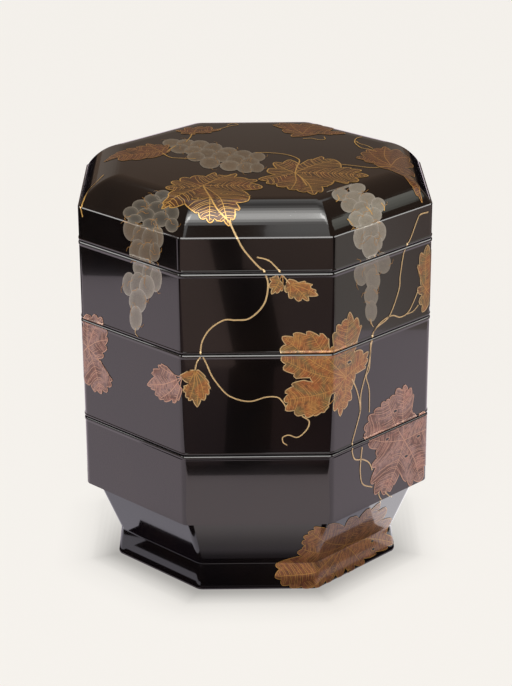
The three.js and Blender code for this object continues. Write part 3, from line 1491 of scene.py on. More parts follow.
@dataclass
class LeafShape:
    """A leaf's outline and junction on a chart."""

    chart: Chart
    junction: Vector
    marks: list[tuple[Vector, Edge]]
    style: LeafStyle
    seed: int = 0
    holes: tuple[Vector, ...] = ()

    def moved(self, shift: Vector, turn: float = 0.0, size: float = 1.0, mirror: bool = False) -> LeafShape:
        """Give a copy of the leaf elsewhere on the same chart.

        Args:
            shift: Where its junction moves, counted from where it is.
            turn: How far it turns about its junction.
            size: How much larger it gets.
            mirror: Whether it is turned over.

        Returns:
            The copy.
        """
        cosine, sine = math.cos(turn) * size, math.sin(turn) * size
        flip = -1.0 if mirror else 1.0
        marks = []
        for place, edge in self.marks:
            x, y = (place.x - self.junction.x) * flip, place.y - self.junction.y
            spot = Vector((x * cosine - y * sine, x * sine + y * cosine))
            marks.append((self.junction + shift + spot, edge))
        return LeafShape(self.chart, self.junction + shift, marks, self.style, self.seed + 1)

    def outline(self) -> list[Vector]:
        """Draw the outline: rounded backs, pointed teeth with notches between, smooth bays."""
        points: list[Vector] = []
        for (start, edge), (end, next_edge) in zip(self.marks, [*self.marks[1:], self.marks[0]]):
            gap = end - start
            inward = (self.junction - (start + end) / 2).normalized()
            points.append(start)
            if Edge.SINUS in (edge, next_edge):
                points += self.bulge(start, end, -inward * 0.10 * gap.length)
            else:
                notch = start + gap * 0.58 + inward * 0.36 * gap.length
                points += self.bulge(start, notch, -inward * 0.10 * gap.length)
                points.append(notch)
                points += self.bulge(notch, end, -inward * 0.14 * gap.length)
        return points

    @staticmethod
    def bulge(start: Vector, end: Vector, outward: Vector) -> list[Vector]:
        """Give the points between two others on a curve that swells outwards."""
        steps = max(int((end - start).length / 0.0012), 2)
        shares = [step / steps for step in range(1, steps)]
        return [start.lerp(end, share) + outward * 4 * share * (1 - share) for share in shares]

    def tint(self, place: Vector) -> Colour:
        """Give the powder's colour at a place, in slow patches of the leaf's powders."""
        shades = [Vector(powder.value) for powder in self.style.powders]
        spot = Vector((place.x * 75, place.y * 75, self.seed * 3.7))
        share = min(max(noise.noise(spot) * 0.9 + 0.5, 0.0), 0.999) * (len(shades) - 1)
        low = int(share)
        colour = shades[low].lerp(shades[min(low + 1, len(shades) - 1)], share - low)
        fleck = noise.noise(spot * 13.0)
        colour = colour.lerp(Vector(Powder.UMBER.value), min(max(-1.6 * fleck, 0.0), 0.7))
        return tuple(colour * (1.0 + 0.35 * max(fleck, 0.0)))

    def main_veins(self) -> list[list[Vector]]:
        """Draw a gently bent vein from the junction to each lobe's tip."""
        veins = []
        for place, edge in self.marks:
            if edge is Edge.TIP:
                reach = place - self.junction
                bend = Vector((-reach.y, reach.x)) * 0.05
                path = [self.junction, self.junction + reach * 0.5 + bend, place - reach * 0.03]
                veins.append(smooth_path(path, 0.0015))
        return veins

    def side_veins(self, outline: list[Vector], veins: list[list[Vector]]) -> list[list[Vector]]:
        """Draw the close side veins, which leave each main vein and curve towards its tip.

        Args:
            outline: The leaf's outline.
            veins: Its main veins.

        Returns:
            The side veins.
        """
        drawn = []
        for number, vein in enumerate(veins):
            others = [other for i, other in enumerate(veins) if i != number]
            axis = (vein[-1] - vein[0]).normalized()
            length = (vein[-1] - vein[0]).length
            count = int(length / self.style.vein_spacing)
            for i in range(1, count):
                start = vein[min(int(i / count * len(vein)), len(vein) - 1)]
                for hand in (-1.0, 1.0):
                    aside = Vector((-axis.y, axis.x)) * hand
                    path = [start]
                    for step in range(30):
                        lean = 0.85 - 0.018 * step + 0.22 * noise.noise(path[-1].to_3d() * 260)
                        spot = path[-1] + (aside * lean + axis * (1.15 - lean)).normalized() * 0.0011
                        if not inside(outline, spot) or self.nearer(spot, vein, others):
                            break
                        path.append(spot)
                    if len(path) > 2:
                        drawn.append(path)
        return drawn

    @staticmethod
    def nearer(spot: Vector, vein: list[Vector], others: list[list[Vector]]) -> bool:
        """Tell whether a spot belongs to another main vein."""
        own = min((spot - place).length for place in vein[::2])
        return any((spot - place).length < own for other in others for place in other[2::2])

    def draw(self, canvas: Canvas, lift: float = 0.00009) -> None:
        """Draw the leaf.

        Args:
            canvas: Takes its shapes.
            lift: How far its powder stands off the body.
        """
        outline = self.outline()
        canvas.patch(Medium.LEAF_POWDER, self.chart, outline, self.tint, lift)
        style, over = self.style, lift + 0.00003
        colour = style.line.value
        closed = [*outline, outline[0], outline[1]]
        canvas.line(Medium.GOLD_LINE, self.chart, closed, style.outline_width, colour, over)
        veins = self.main_veins()
        shade = style.vein.value
        for vein in veins:
            canvas.line(Medium.GOLD_LINE, self.chart, vein, style.main_width, shade, over, 0.0004)
        for vein in self.side_veins(outline, veins):
            canvas.line(Medium.GOLD_LINE, self.chart, vein, style.vein_width, shade, over, 0.00025)
        for hole in self.holes:
            ring = [hole + Vector((0.0022 * math.cos(t), 0.0013 * math.sin(t)))
                    for t in (math.pi * step / 6 for step in range(13))]
            canvas.patch(Medium.LEAF_POWDER, self.chart, ring[:-1], self.bare, over + 0.00001)
            canvas.line(Medium.GOLD_LINE, self.chart, ring, 0.0005, colour, over + 0.00002)

    @staticmethod
    def bare(_: Vector) -> Colour:
        """Give the black of the lacquer, which shows in a hole."""
        return 0.006, 0.005, 0.005


@dataclass(frozen=True)
class Leaf:
    """A leaf by the pixels of the photograph that show it."""

    name: str
    chart: Chart
    junction: tuple[float, float]
    marks: tuple[Mark, ...]
    style: LeafStyle = LeafStyle()
    seed: int = 0
    holes: tuple[tuple[float, float], ...] = ()

    def shape(self, skin: Skin) -> LeafShape:
        """Bring the leaf to its chart."""
        marks = [(skin.pixel(self.chart, (m.x, m.y), m.beyond), m.edge) for m in self.marks]
        junction = skin.pixel(self.chart, self.junction)
        holes = tuple(skin.pixel(self.chart, hole) for hole in self.holes)
        return LeafShape(self.chart, junction, marks, self.style, self.seed, holes)


@dataclass(frozen=True)
class Stem:
    """A vine or tendril by the pixels of the photograph that it runs through."""

    chart: Chart
    pixels: tuple[tuple[float, float], ...]
    width: float = 0.0011
    end_width: float = 0.0009
    powder: Powder = Powder.PALE

    def path(self, skin: Skin) -> list[Vector]:
        """Give the stem's line on its chart."""
        return smooth_path([skin.pixel(self.chart, pixel) for pixel in self.pixels])


@dataclass(frozen=True)
class Grape:
    """A grape by its middle, width and height in pixels of the photograph."""

    x: float
    y: float
    width: float
    height: float


@dataclass(frozen=True)
class Cluster:
    """A bunch of grapes, drawn from its first grape over to its last."""

    name: str
    chart: Chart
    grapes: tuple[Grape, ...]
    body: Powder = Powder.ASH
    rim: Powder = Powder.SILVER
    rim_width: float = 0.00035
    swell: float = 1.16

    def shapes(self, skin: Skin) -> list[tuple[Vector, Vector, Vector]]:
        """Give each grape's middle and the two halves of its oval on the chart."""
        found = []
        for grape in self.grapes:
            middle = skin.pixel(self.chart, (grape.x, grape.y))
            ends = [
                skin.pixel(self.chart, (grape.x + i * grape.width / 2, grape.y + j * grape.height / 2))
                for i, j in ((1, 0), (-1, 0), (0, -1), (0, 1))
            ]
            half = self.swell / 2
            found.append((middle, (ends[0] - ends[1]) * half, (ends[2] - ends[3]) * half))
        return found


class GrapeBrush:
    """Draws grapes as ovals that are lighter towards their rims, each one over the last."""

    RINGS = 4
    STEPS = 22
    LAYER = 0.000004

    def __init__(self, canvas: Canvas, body: Powder, rim: Powder, rim_width: float) -> None:
        """Take the powders.

        Args:
            canvas: Takes the shapes.
            body: The powder in the middle of a grape.
            rim: The powder at its rim.
            rim_width: The width of the line round it.
        """
        self.canvas = canvas
        self.body = Vector(body.value)
        self.rim = Vector(rim.value)
        self.rim_width = rim_width

    def draw(self, chart: Chart, grapes: Sequence[tuple[Vector, Vector, Vector]]) -> None:
        """Draw some grapes.

        Args:
            chart: The chart of their places.
            grapes: The middle and the two halves of each oval.
        """
        for number, (middle, half_x, half_y) in enumerate(grapes):
            self.draw_one(chart, middle, half_x, half_y, 0.00008 + self.LAYER * 2 * number)
            for turn in (0.0, 2.4):
                self.draw_curl(chart, middle, half_x, half_y, turn + 1.7 * number)

    def draw_curl(
        self, chart: Chart, middle: Vector, half_x: Vector, half_y: Vector, angle: float
    ) -> None:
        """Draw a hair-thin gold curl that leaves a grape's rim at an angle."""
        path = [
            middle + (half_x * math.cos(angle + bend) + half_y * math.sin(angle + bend)) * reach
            for bend, reach in ((-0.35, 0.80), (-0.05, 1.02), (0.0, 1.22), (0.30, 1.40))
        ]
        self.canvas.line(
            Medium.GOLD_LINE, chart, smooth_path(path, 0.0006), 0.0004, Powder.OLD_GOLD.value,
            0.00022, 0.00025,
        )

    def draw_one(self, chart: Chart, middle: Vector, half_x: Vector, half_y: Vector, lift: float) -> None:
        """Draw one grape and the line round it."""
        places, tints, faces = [middle.copy()], [tuple(self.body)], []
        wander = 0.85 + 0.3 * abs(noise.noise(Vector((middle.x * 90, middle.y * 90, 5.0))))
        for ring in range(1, self.RINGS + 1):
            reach = ring / self.RINGS
            colour = self.body.lerp(self.rim, 0.55 * reach**3) * wander
            for step in range(self.STEPS):
                angle = 2 * math.pi * step / self.STEPS
                places.append(middle + (half_x * math.cos(angle) + half_y * math.sin(angle)) * reach)
                tints.append(tuple(colour))
                beside = (step + 1) % self.STEPS
                start = 1 + (ring - 1) * self.STEPS
                if ring == 1:
                    faces.append((0, start + step, start + beside))
                else:
                    inner = start - self.STEPS
                    faces.append((inner + step, start + step, start + beside, inner + beside))
        self.canvas.add(Medium.GRAPE_POWDER, chart, places, faces, tints, lift)
        edge = places[-self.STEPS:]
        path = smooth_path([*edge, edge[0]])
        self.canvas.line(
            Medium.SILVER_LINE, chart, path, self.rim_width, tuple(self.rim), lift + self.LAYER
        )


DARK_LEAF = LeafStyle(
    (Powder.BROWN, Powder.UMBER, Powder.BROWN, Powder.RUSSET), Powder.GOLD, Powder.GOLD,
    outline_width=0.0008, main_width=0.0007, vein_width=0.0005, vein_spacing=0.0024,
)
RED_LEAF = LeafStyle(
    (Powder.BROWN, Powder.RUSSET, Powder.UMBER), Powder.HONEY, Powder.HONEY, vein_spacing=0.0022
)
FOOT_LEAF = LeafStyle(
    (Powder.TAWNY, Powder.RUSSET, Powder.TAWNY, Powder.UMBER), Powder.OLD_GOLD, Powder.OLD_GOLD
)
COPPER_LEAF = LeafStyle((Powder.COPPER, Powder.AMBER, Powder.COPPER, Powder.GREEN_GOLD, Powder.COPPER))
# Leaves on the slanting sides: the powder and its lines have their own colour, paled to pink by a painted
# reflection.
REFLECTION_PINKED_LEAF = LeafStyle((Powder.ROSE_SHEEN, Powder.BLUSH_SHEEN, Powder.RUSSET, Powder.ROSE_SHEEN), Powder.DUSK_SHEEN, Powder.DUSK_SHEEN)

LEAVES = (
    Leaf("large leaf on the lid's front left", Chart.TOP, (203, 186), (
        tip(166, 188), tooth(169, 196), tooth(163, 203), tip(162, 209), tooth(172, 208), bay(185, 204),
        tooth(194, 212), tooth(201, 219), tip(210, 223), tooth(219, 221), tip(229, 226), tooth(234, 219),
        tooth(240, 209), bay(236, 203), tooth(248, 201), tip(262, 187), tooth(256, 180), tooth(246, 179),
        tip(235, 174), tooth(224, 176), tooth(214, 173), bay(206, 177), tooth(196, 176), tooth(182, 178),
        tooth(172, 182),
    ), DARK_LEAF, 1, ((195, 199), (224, 194), (247, 196))),
    Leaf("leaf in the middle of the lid", Chart.TOP, (295, 173), (
        tip(259, 180), tooth(268, 184), tooth(279, 187), tip(291, 190), tooth(301, 192), tip(314, 195),
        tooth(322, 192), tooth(328, 186), bay(334, 181), tooth(346, 184), tooth(357, 182), tip(368, 176),
        tooth(360, 170), tooth(350, 168), bay(341, 168), tip(334, 160), tooth(321, 157), tooth(309, 160),
        bay(300, 165), tooth(290, 160), tip(274, 163), tooth(268, 170),
    ), DARK_LEAF, 2),
    Leaf("leaf on the lid's left", Chart.TOP, (162, 152), (
        tip(104, 162), tooth(110, 157), tooth(117, 153), tip(128, 149), tooth(138, 147), tip(148, 144),
        tooth(158, 145), tip(169, 145), tooth(170, 150), bay(165, 154), tooth(152, 158), tooth(138, 160),
        tooth(122, 161),
    ), RED_LEAF, 3),
    Leaf("small leaf at the back of the lid", Chart.TOP, (194, 133), (
        tip(176, 131), tooth(186, 128), tip(200, 127), tooth(210, 127), tip(221, 130), tooth(210, 133),
        tip(192, 135), tooth(182, 134),
    ), RED_LEAF, 4),
    Leaf("wide leaf at the back of the lid", Chart.TOP, (303, 134), (
        tip(273, 125), tooth(281, 123), tip(290, 124), tooth(305, 124), tip(318, 124), tooth(332, 127),
        tip(345, 134), tooth(330, 135), bay(318, 134), tip(292, 137), tooth(284, 132),
    ), RED_LEAF, 5),
    Leaf("leaf on the lid's right", Chart.TOP, (391, 166), (
        tip(356, 158), tooth(362, 153), tip(367, 150), tooth(376, 149), tip(385, 147), bay(391, 151),
        tooth(398, 150), tip(409, 158), tooth(413, 166), tooth(414, 175), tooth(419, 188), tip(422, 203),
        tooth(416, 195), tooth(410, 184), tooth(401, 175), bay(390, 170), tooth(376, 165), tooth(366, 162),
    ), RED_LEAF, 6),
    Leaf("small leaflet under the lid", Chart.WALL, (281.5, 273), (
        tooth(277, 273), tooth(270, 278), tooth(269, 286), tip(271.5, 294), tooth(277.5, 293),
        tip(282.5, 290.5), tooth(284, 286), bay(282, 282.5),
    ), COPPER_LEAF, 7),
    Leaf("large leaflet under the lid", Chart.WALL, (290, 284), (
        bay(286, 283), tooth(285, 291), tip(289.5, 298), tooth(298.5, 301), tip(308.6, 300.6),
        bay(308, 296), tip(318, 295.3), tooth(315.8, 290), tooth(310.5, 287.5), tip(312.6, 284.5),
        tooth(304.6, 281), bay(298, 282.5), bay(289, 279),
    ), COPPER_LEAF, 8),
    Leaf("rosy leaf of the pair", Chart.WALL, (182, 377), (
        bay(176, 376), tooth(167, 366.5), tooth(162, 364), tip(158.5, 365), bay(160, 369),
        tooth(153.8, 369), tooth(152, 373), bay(155, 376.5), tip(147.5, 385), tooth(152, 389),
        bay(156.5, 390), tooth(155.5, 394.5), tip(160, 399), tooth(165.5, 401.5), tip(175, 403),
        tooth(179, 400), bay(182.5, 389),
    ), REFLECTION_PINKED_LEAF, 9),
    Leaf("golden leaf of the pair", Chart.WALL, (195, 370), (
        bay(190, 370), bay(180, 375.5), bay(183, 379), bay(189.5, 383), tooth(184, 386),
        tip(183.5, 390.5), tooth(186, 397), tip(189, 400.5), bay(192.6, 399), tip(197.2, 407),
        bay(201.2, 399), tip(204.5, 400), tooth(209, 393.5), tip(210.3, 388), tooth(208.8, 382),
        tooth(205, 376), bay(198.5, 370),
    ), COPPER_LEAF, 10),
    Leaf("great leaf round the corner", Chart.WALL, (346, 377), (
        tip(281, 359), tooth(280, 350), tip(282.5, 336.5), tooth(295.6, 332.5), tip(309, 331),
        tooth(322.7, 333.5), tooth(329, 339), bay(329.5, 349), bay(333.5, 346), tooth(332.7, 334.4),
        tooth(337, 325), tooth(343.4, 320.5), tip(349.5, 312), tooth(357.7, 318.5), tooth(361.5, 326),
        bay(357, 340), bay(354, 352), tooth(361, 350), tooth(368, 352), tip(367.5, 360), tooth(365, 368),
        bay(355, 374), tooth(352, 386), tooth(351.3, 399), tooth(346, 407), tip(340, 416), tooth(333.4, 410),
        bay(334, 400), bay(335, 392), bay(331.3, 394), tooth(329, 404), tooth(324.5, 412), tooth(316, 415.5),
        tip(307.7, 417.5), tooth(297, 415.5), tooth(285.5, 410), tip(284, 400), tooth(285.2, 391),
        tooth(292.7, 383), bay(304, 380), bay(313, 382), bay(310, 377.5), tooth(296, 378.4),
        tooth(283.4, 369.4),
    ), COPPER_LEAF, 11, ((349, 362),)),
    Leaf("leaf at the left edge", Chart.WALL, (88, 347), (
        tip(88.8, 315), tooth(95, 314.5), tip(102, 317.5), tooth(107, 331), tip(108, 339.5),
        tooth(107, 349), tooth(103.5, 357), bay(96, 358.5), tooth(101, 361), tooth(105.5, 369),
        tip(112.5, 380), tooth(111.5, 386), tooth(107, 392), tip(101, 393.5), tooth(95, 391.5),
        tooth(88, 384), tooth(82, 381, -0.008), tip(82, 370, -0.018), tooth(82, 352, -0.022),
        tooth(82, 335, -0.020), tip(82, 322, -0.014),
    ), REFLECTION_PINKED_LEAF, 12),
    Leaf("leaf at the right edge", Chart.WALL, (426, 290), (
        tip(427, 245), tooth(420, 254), tip(417, 267), tooth(420.5, 276), tooth(417, 290), tip(419, 303),
        tooth(422, 312), tip(427, 310, 0.010), tooth(427, 300, 0.018), tip(427, 285, 0.022),
        tooth(427, 268, 0.018), tooth(427, 254, 0.010),
    ), COPPER_LEAF, 13),
    Leaf("great leaf at the lower right", Chart.WALL, (404, 440), (
        tip(363.5, 437), tooth(364, 427.5), tooth(368.5, 416), tooth(375, 409.5), tooth(382.5, 402),
        tip(387, 399.5), tooth(390.5, 397), tooth(397, 388.5), tip(405, 385), tooth(411, 388),
        tooth(413.5, 395), tooth(412, 413), tooth(424, 412), tooth(430, 420, 0.008), tip(430, 436, 0.022),
        tooth(430, 452, 0.020), tooth(430, 466, 0.012), tip(420, 481), tooth(409.5, 486), tooth(404.5, 481),
        bay(399.5, 472), tooth(395, 483), tooth(390, 491), tip(384, 494.5), tooth(374.5, 494),
        tooth(370.5, 482), tooth(372, 464), tooth(377, 456), tooth(369, 446.5),
    ), REFLECTION_PINKED_LEAF, 14, ((395, 411), (418, 436), (406, 456), (387, 439))),
    Leaf("great leaf on the foot", Chart.WALL, (345, 545), (
        tip(275, 577), tooth(276, 564), tip(302, 549), tooth(302, 542), tooth(304, 536), tip(309, 531.5),
        tooth(315, 526.5), tooth(330, 524), tip(353, 517), tooth(368, 509), tip(379, 503),
        tooth(386, 508), tooth(391, 520), tip(394, 543), tooth(386, 549), tooth(374, 555), tip(362, 565),
        tooth(352, 571), tooth(340, 578), tip(330, 586), tooth(318, 588.5), tip(305, 588.5),
        tooth(292, 588), tooth(282, 585),
    ), FOOT_LEAF, 15, ((372, 541), (373, 549), (349, 571))),
)

STEMS = (
    Stem(Chart.TOP, ((203, 186), (210, 197), (217, 209), (231, 224)), 0.0010, 0.0010, Powder.GOLD),
    Stem(Chart.WALL, (
        (229, 221), (236, 236), (244, 250), (259, 267), (264, 271), (268, 285), (264, 304), (250, 318),
        (236, 320), (224, 320), (210, 329), (202, 342), (200, 357),
    ), 0.0012, 0.0010),
    Stem(Chart.WALL, ((257, 257), (268, 260), (275, 266), (281.5, 273)), 0.0010, 0.0009),
    Stem(Chart.WALL, ((281.5, 273), (286, 279), (290, 284)), 0.0008, 0.0006),
    Stem(Chart.WALL, ((200, 357), (197, 362), (195, 370)), 0.0009, 0.0009),
    Stem(Chart.WALL, (
        (203, 357), (207, 365), (212, 376), (220, 387), (228, 395), (240, 400), (252, 401), (266, 397),
        (277, 397), (282, 401), (286, 407),
    ), 0.0010, 0.0009),
    Stem(Chart.WALL, (
        (302, 416), (309, 421), (307, 429), (298, 437), (289, 435), (283, 437), (283, 442), (287, 445),
    ), 0.0010, 0.0007),
    Stem(Chart.TOP, ((255, 153), (270, 153), (287, 155), (299, 160), (297, 167), (295, 173)), 0.0009, 0.0008,
         Powder.GOLD),
    Stem(Chart.TOP, ((295, 173), (301, 178), (307, 186)), 0.0008, 0.0008, Powder.GOLD),
    Stem(Chart.TOP, ((336, 164), (354, 166), (372, 168), (382, 167), (391, 167)), 0.0009, 0.0008, Powder.GOLD),
    Stem(Chart.TOP, ((162, 153), (170, 157.5), (181, 158.5), (196, 159)), 0.0009, 0.0008, Powder.GOLD),
    Stem(Chart.TOP, ((167, 152), (171, 149), (176, 146)), 0.0008, 0.0007, Powder.GOLD),
    Stem(Chart.TOP, ((192, 134), (190, 138), (186, 142)), 0.0008, 0.0007, Powder.GOLD),
    Stem(Chart.TOP, ((217, 130), (224, 128), (231, 126), (238, 125), (233, 123.5), (227, 125.5)), 0.0007,
         0.0006, Powder.GOLD),
    Stem(Chart.TOP, ((303, 139), (311, 138.5), (319, 140), (325, 139.5), (324, 137)), 0.0008, 0.0006,
         Powder.GOLD),
    Stem(Chart.TOP, (
        (362, 137), (356, 139), (355, 143), (361, 148), (369, 149.5), (377, 152),
    ), 0.0008, 0.0007, Powder.GOLD),
    Stem(Chart.TOP, ((355, 141), (360, 144), (367, 146), (373, 149)), 0.0007, 0.0006, Powder.GOLD),
    Stem(Chart.WALL, ((104, 175), (97, 182), (90, 189), (85, 198), (83, 217)), 0.0013, 0.0010, Powder.GOLD),
    Stem(Chart.WALL, ((337, 195), (339, 199), (336, 202)), 0.0008, 0.0006, Powder.GOLD),
    Stem(Chart.WALL, ((366, 207), (370, 211), (372, 215)), 0.0010, 0.0006, Powder.GOLD),
    Stem(Chart.WALL, ((381, 203), (384, 207), (384, 211)), 0.0009, 0.0006, Powder.GOLD),
    Stem(Chart.WALL, ((347, 219), (350, 222), (352, 225)), 0.0009, 0.0006, Powder.GOLD),
    Stem(Chart.WALL, (
        (428, 212), (420, 214.5), (417, 220), (410, 239), (404.7, 250), (400, 275), (398.5, 290),
        (389, 316), (376, 328), (371, 340), (369, 361), (361, 392), (360, 411), (355, 431), (352, 445),
        (354, 458.5), (363, 459.5), (369, 463), (372, 470),
    ), 0.0010, 0.0009),
    Stem(Chart.WALL, (
        (418, 290), (414, 300), (408, 312), (400, 317), (392, 315.5), (382, 321), (374, 331), (371, 345),
        (369, 368), (366, 377), (369, 390), (369, 412),
    ), 0.0009, 0.0008),
    Stem(Chart.WALL, ((418, 305), (413, 311), (407, 314)), 0.0008, 0.0007),
    Stem(Chart.WALL, ((352, 379), (356, 389), (359, 400), (360, 411)), 0.0010, 0.0009),
    Stem(Chart.WALL, ((362, 447), (360.5, 460), (360, 473), (362.5, 484), (372, 487)), 0.0010, 0.0008),
    Stem(Chart.WALL, ((378.5, 492), (380, 498), (380.3, 503)), 0.0009, 0.0008),
    Stem(Chart.WALL, ((385, 492), (388, 495), (391.5, 497)), 0.0008, 0.0006),
    Stem(Chart.WALL, ((370.5, 319), (371, 323), (373, 327)), 0.0006, 0.0005),
    Stem(Chart.WALL, ((136, 328), (135.5, 333), (138, 337)), 0.0006, 0.0005),
)

CLUSTERS = (
    Cluster("grapes on the lid", Chart.TOP, (
        Grape(172, 143, 16, 7), Grape(186, 144, 16, 8), Grape(200, 145, 16, 8), Grape(213, 148, 16, 8),
        Grape(228, 152, 16, 8), Grape(243, 155, 16, 8), Grape(257, 157, 14, 8), Grape(180, 149, 16, 8),
        Grape(194, 151, 16, 8), Grape(207, 154, 16, 9), Grape(221, 157, 16, 9), Grape(236, 160, 16, 9),
        Grape(250, 163, 16, 9), Grape(196, 157, 15, 8), Grape(210, 163, 17, 10), Grape(230, 166, 17, 9),
        Grape(246, 168, 16, 9), Grape(257, 168, 12, 8),
    ), Powder.TAUPE, Powder.SILVER),
    Cluster("left grapes on the shoulder", Chart.WALL, (
        Grape(163, 195, 13, 9), Grape(152, 200, 14, 10), Grape(168, 203, 13, 11), Grape(141, 206, 15, 11),
        Grape(157, 208, 14, 12), Grape(172, 213, 12, 14), Grape(131, 213, 13, 11), Grape(146, 215, 15, 12),
        Grape(161, 219, 14, 13), Grape(135, 219, 12, 8), Grape(150, 224, 12, 9), Grape(172, 225, 11, 12),
    ), Powder.ASH, Powder.SILVER),
    Cluster("left grapes on the band", Chart.WALL, (
        Grape(131, 230, 13, 18), Grape(157, 237, 11, 18), Grape(141, 236, 14, 20), Grape(150, 240, 14, 22),
        Grape(137, 250, 13, 18), Grape(147, 253, 14, 18), Grape(155, 252, 9, 16),
    ), Powder.TAUPE, Powder.SILVER),
    Cluster("left grapes on the tiers", Chart.WALL, (
        Grape(140, 268, 12, 16), Grape(150, 273, 13, 20), Grape(129, 284, 11, 20), Grape(156, 279, 10, 22),
        Grape(138, 285, 13, 22), Grape(147, 287, 13, 20), Grape(138, 301, 15, 21), Grape(136, 318, 10.5, 21),
    ), Powder.PEARL, Powder.MOON),
    Cluster("right grapes on the shoulder", Chart.WALL, (
        Grape(330, 187, 14, 9), Grape(344, 186, 14, 9), Grape(357, 188, 14, 9), Grape(340, 194, 14, 10),
        Grape(354, 197, 15, 11), Grape(367, 199, 14, 11), Grape(378, 205, 12, 13), Grape(349, 205, 14, 12),
        Grape(362, 209, 15, 13), Grape(374, 215, 13, 13), Grape(356, 219, 13, 13), Grape(366, 221, 13, 10),
    ), Powder.SILVER, Powder.MOON),
    Cluster("right grapes on the band", Chart.WALL, (
        Grape(361, 237, 13, 20), Grape(379, 232, 12, 18), Grape(371, 232, 13, 20), Grape(377, 243, 9, 14),
        Grape(370, 247, 14, 20),
    ), Powder.SILVER, Powder.MOON),
    Cluster("right grapes on the tiers", Chart.WALL, (
        Grape(383, 263, 13, 18), Grape(361, 274, 12, 20), Grape(371, 268, 13, 20), Grape(373, 280, 12, 20),
        Grape(371, 296, 12, 18), Grape(371, 311, 10, 18),
    ), Powder.PEARL, Powder.SILVER),
)


BACK_LEAVES = (9, 10, 11)
BACK_STEMS = (1, 4, 5, 6)
BACK_CLUSTER = 3


@dataclass(frozen=True)
class PowderFinish:
    """Metal powder strewn into lacquer and polished: how metallic, coarse and glossy it is."""

    name: str
    metallic: float = 0.35
    roughness: float = 0.42
    coat: float = 0.9
    coat_roughness: float = 0.06
    grain_scale: float = 2600.0
    grain: float = 0.35
    worn: float = 0.4

    def material(self, effects: Effects) -> bpy.types.Material:
        """Make the material, which takes its colour from the drawing's tint.

        Args:
            effects: The shared node groups.

        Returns:
            The finished material.
        """
        material = bpy.data.materials.new(self.name)
        material.use_nodes = True
        sheet = NodeSheet(material.node_tree)
        shader = material.node_tree.nodes["Principled BSDF"]
        tint = sheet.add("VertexColor")
        tint.layer_name = "tint"
        grains = sheet.add("Group")
        grains.node_tree = effects.grains
        grains.inputs["Scale"].default_value = self.grain_scale
        grains.inputs["Strength"].default_value = self.grain
        grains.inputs["Wear"].default_value = self.worn
        dark = sheet.blend(grains.outputs["Worn"], tint.outputs["Color"], (0.012, 0.009, 0.008))
        bright = sheet.add("HueSaturation", Color=dark, Value=grains.outputs["Brightness"])
        sheet.feed(shader.inputs["Base Color"], bright.outputs["Color"])
        shader.inputs["Metallic"].default_value = self.metallic
        shader.inputs["Roughness"].default_value = self.roughness
        shader.inputs["Coat Weight"].default_value = self.coat
        shader.inputs["Coat Roughness"].default_value = self.coat_roughness
        bump = sheet.add("Bump", Strength=0.25, Distance=0.0001, Height=grains.outputs["Brightness"])
        sheet.feed(shader.inputs["Normal"], bump.outputs["Normal"])
        return material


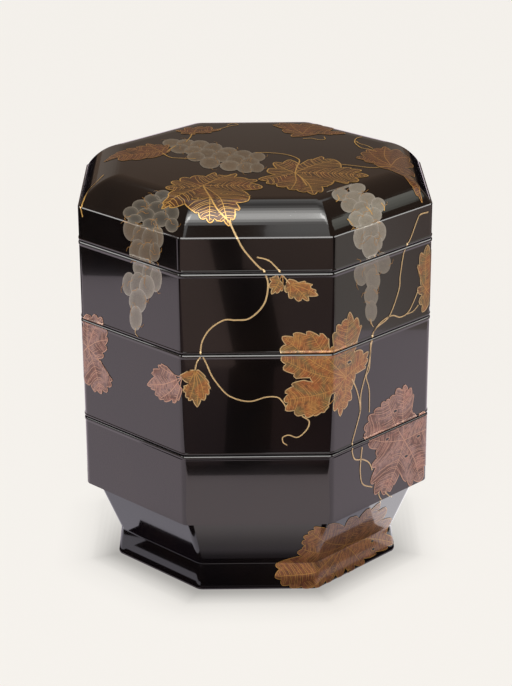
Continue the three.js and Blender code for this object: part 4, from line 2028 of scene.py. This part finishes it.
class Grapevine:
    """The grapevine drawn over the box: leaves, stems and bunches of grapes."""

    def __init__(self, skin: Skin, effects: Effects) -> None:
        """Prepare the canvas and the powders.

        Args:
            skin: The outside of the box.
            effects: The shared node groups.
        """
        self.skin = skin
        self.canvas = Canvas(skin)
        leaf_powder = PowderFinish("leaf_powder").material(effects)
        gold_line = PowderFinish("gold_line", metallic=0.5, roughness=0.35, grain=0.2, worn=0.1)
        grape = PowderFinish("grape_powder", metallic=0.25, grain=0.25, worn=0.1)
        silver_line = PowderFinish("silver_line", metallic=0.4, grain=0.2, worn=0.05)
        self.materials = {
            Medium.LEAF_POWDER: leaf_powder,
            Medium.GOLD_LINE: gold_line.material(effects),
            Medium.GRAPE_POWDER: grape.material(effects),
            Medium.SILVER_LINE: silver_line.material(effects),
        }

    def build(self) -> None:
        """Draw the front as the photograph shows it and lay everything on the bodies."""
        for cluster in CLUSTERS:
            brush = GrapeBrush(self.canvas, cluster.body, cluster.rim, cluster.rim_width)
            brush.draw(cluster.chart, cluster.shapes(self.skin))
        for leaf in LEAVES:
            leaf.shape(self.skin).draw(self.canvas, 0.00024)
        for stem in STEMS:
            self.draw_stem(stem, stem.path(self.skin))
        self.draw_back()
        self.canvas.lay(self.materials)

    def draw_stem(self, stem: Stem, path: Sequence[Vector]) -> None:
        """Draw a stem along a path on its chart."""
        self.canvas.line(
            Medium.GOLD_LINE, stem.chart, path, stem.width, stem.powder.value, 0.0003, stem.end_width
        )

    def draw_back(self) -> None:
        """Draw a sparer vine on the hidden sides: some of the front's parts, turned over."""
        half_round = 4 * self.skin.pitch
        for leaf in LEAVES:
            if leaf.seed in BACK_LEAVES:
                shape = leaf.shape(self.skin)
                shift = Vector((half_round - 2 * shape.junction.x, 0.0))
                shape.moved(shift, mirror=True).draw(self.canvas, 0.00024)
        for number in BACK_STEMS:
            path = STEMS[number].path(self.skin)
            self.draw_stem(STEMS[number], [Vector((half_round - place.x, place.y)) for place in path])
        cluster = CLUSTERS[BACK_CLUSTER]
        brush = GrapeBrush(self.canvas, cluster.body, cluster.rim, cluster.rim_width)
        brush.draw(cluster.chart, [
            (Vector((half_round - middle.x, middle.y)), half_x, half_y)
            for middle, half_x, half_y in cluster.shapes(self.skin)
        ])


@dataclass
class LacquerBox:
    """The box: three trays and a lid, and the grapevine over them."""

    bottom_rim: float = 0.1115
    middle_rim: float = 0.1845
    top_rim: float = 0.241
    lid_edge: float = 0.266

    def build(self, effects: Effects, camera: Camera) -> None:
        """Build the four bodies and draw the grapevine on them.

        Args:
            effects: The shared node groups.
            camera: The camera whose pixels place the ornament.
        """
        polished = LacquerFinish("polished_black_lacquer").material(effects)
        satin = LacquerFinish("satin_inner_lacquer", roughness=0.32, haze=0.12, coat=0.3,
                              coat_roughness=0.2, wave=0.05).material(effects)
        foot = FootedTray("bottom_tier", 0.0, self.bottom_rim)
        lid = Lid("lid", self.top_rim, self.lid_edge)
        middle = Tray("middle_tier", self.bottom_rim, self.middle_rim)
        top = Tray("top_tier", self.middle_rim, self.top_rim)
        bodies = {}
        for part in (foot, middle, top, lid):
            bodies[part.node] = part.build([polished, satin])
            LOG.info("%s: %d faces", part.node, len(bodies[part.node].data.polygons))
        rims = (self.bottom_rim, self.middle_rim, self.top_rim)
        Grapevine(Skin(bodies, rims, foot, lid, camera), effects).build()


def main() -> None:
    """Load the frame, dress the box and set it in its studio."""
    logging.basicConfig(level=logging.INFO, format="%(name)s: %(message)s")
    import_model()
    camera = Camera()
    camera.build()
    effects = Effects()
    LacquerBox().build(effects, camera)
    Studio().build()


if __name__ == "__main__":
    main()
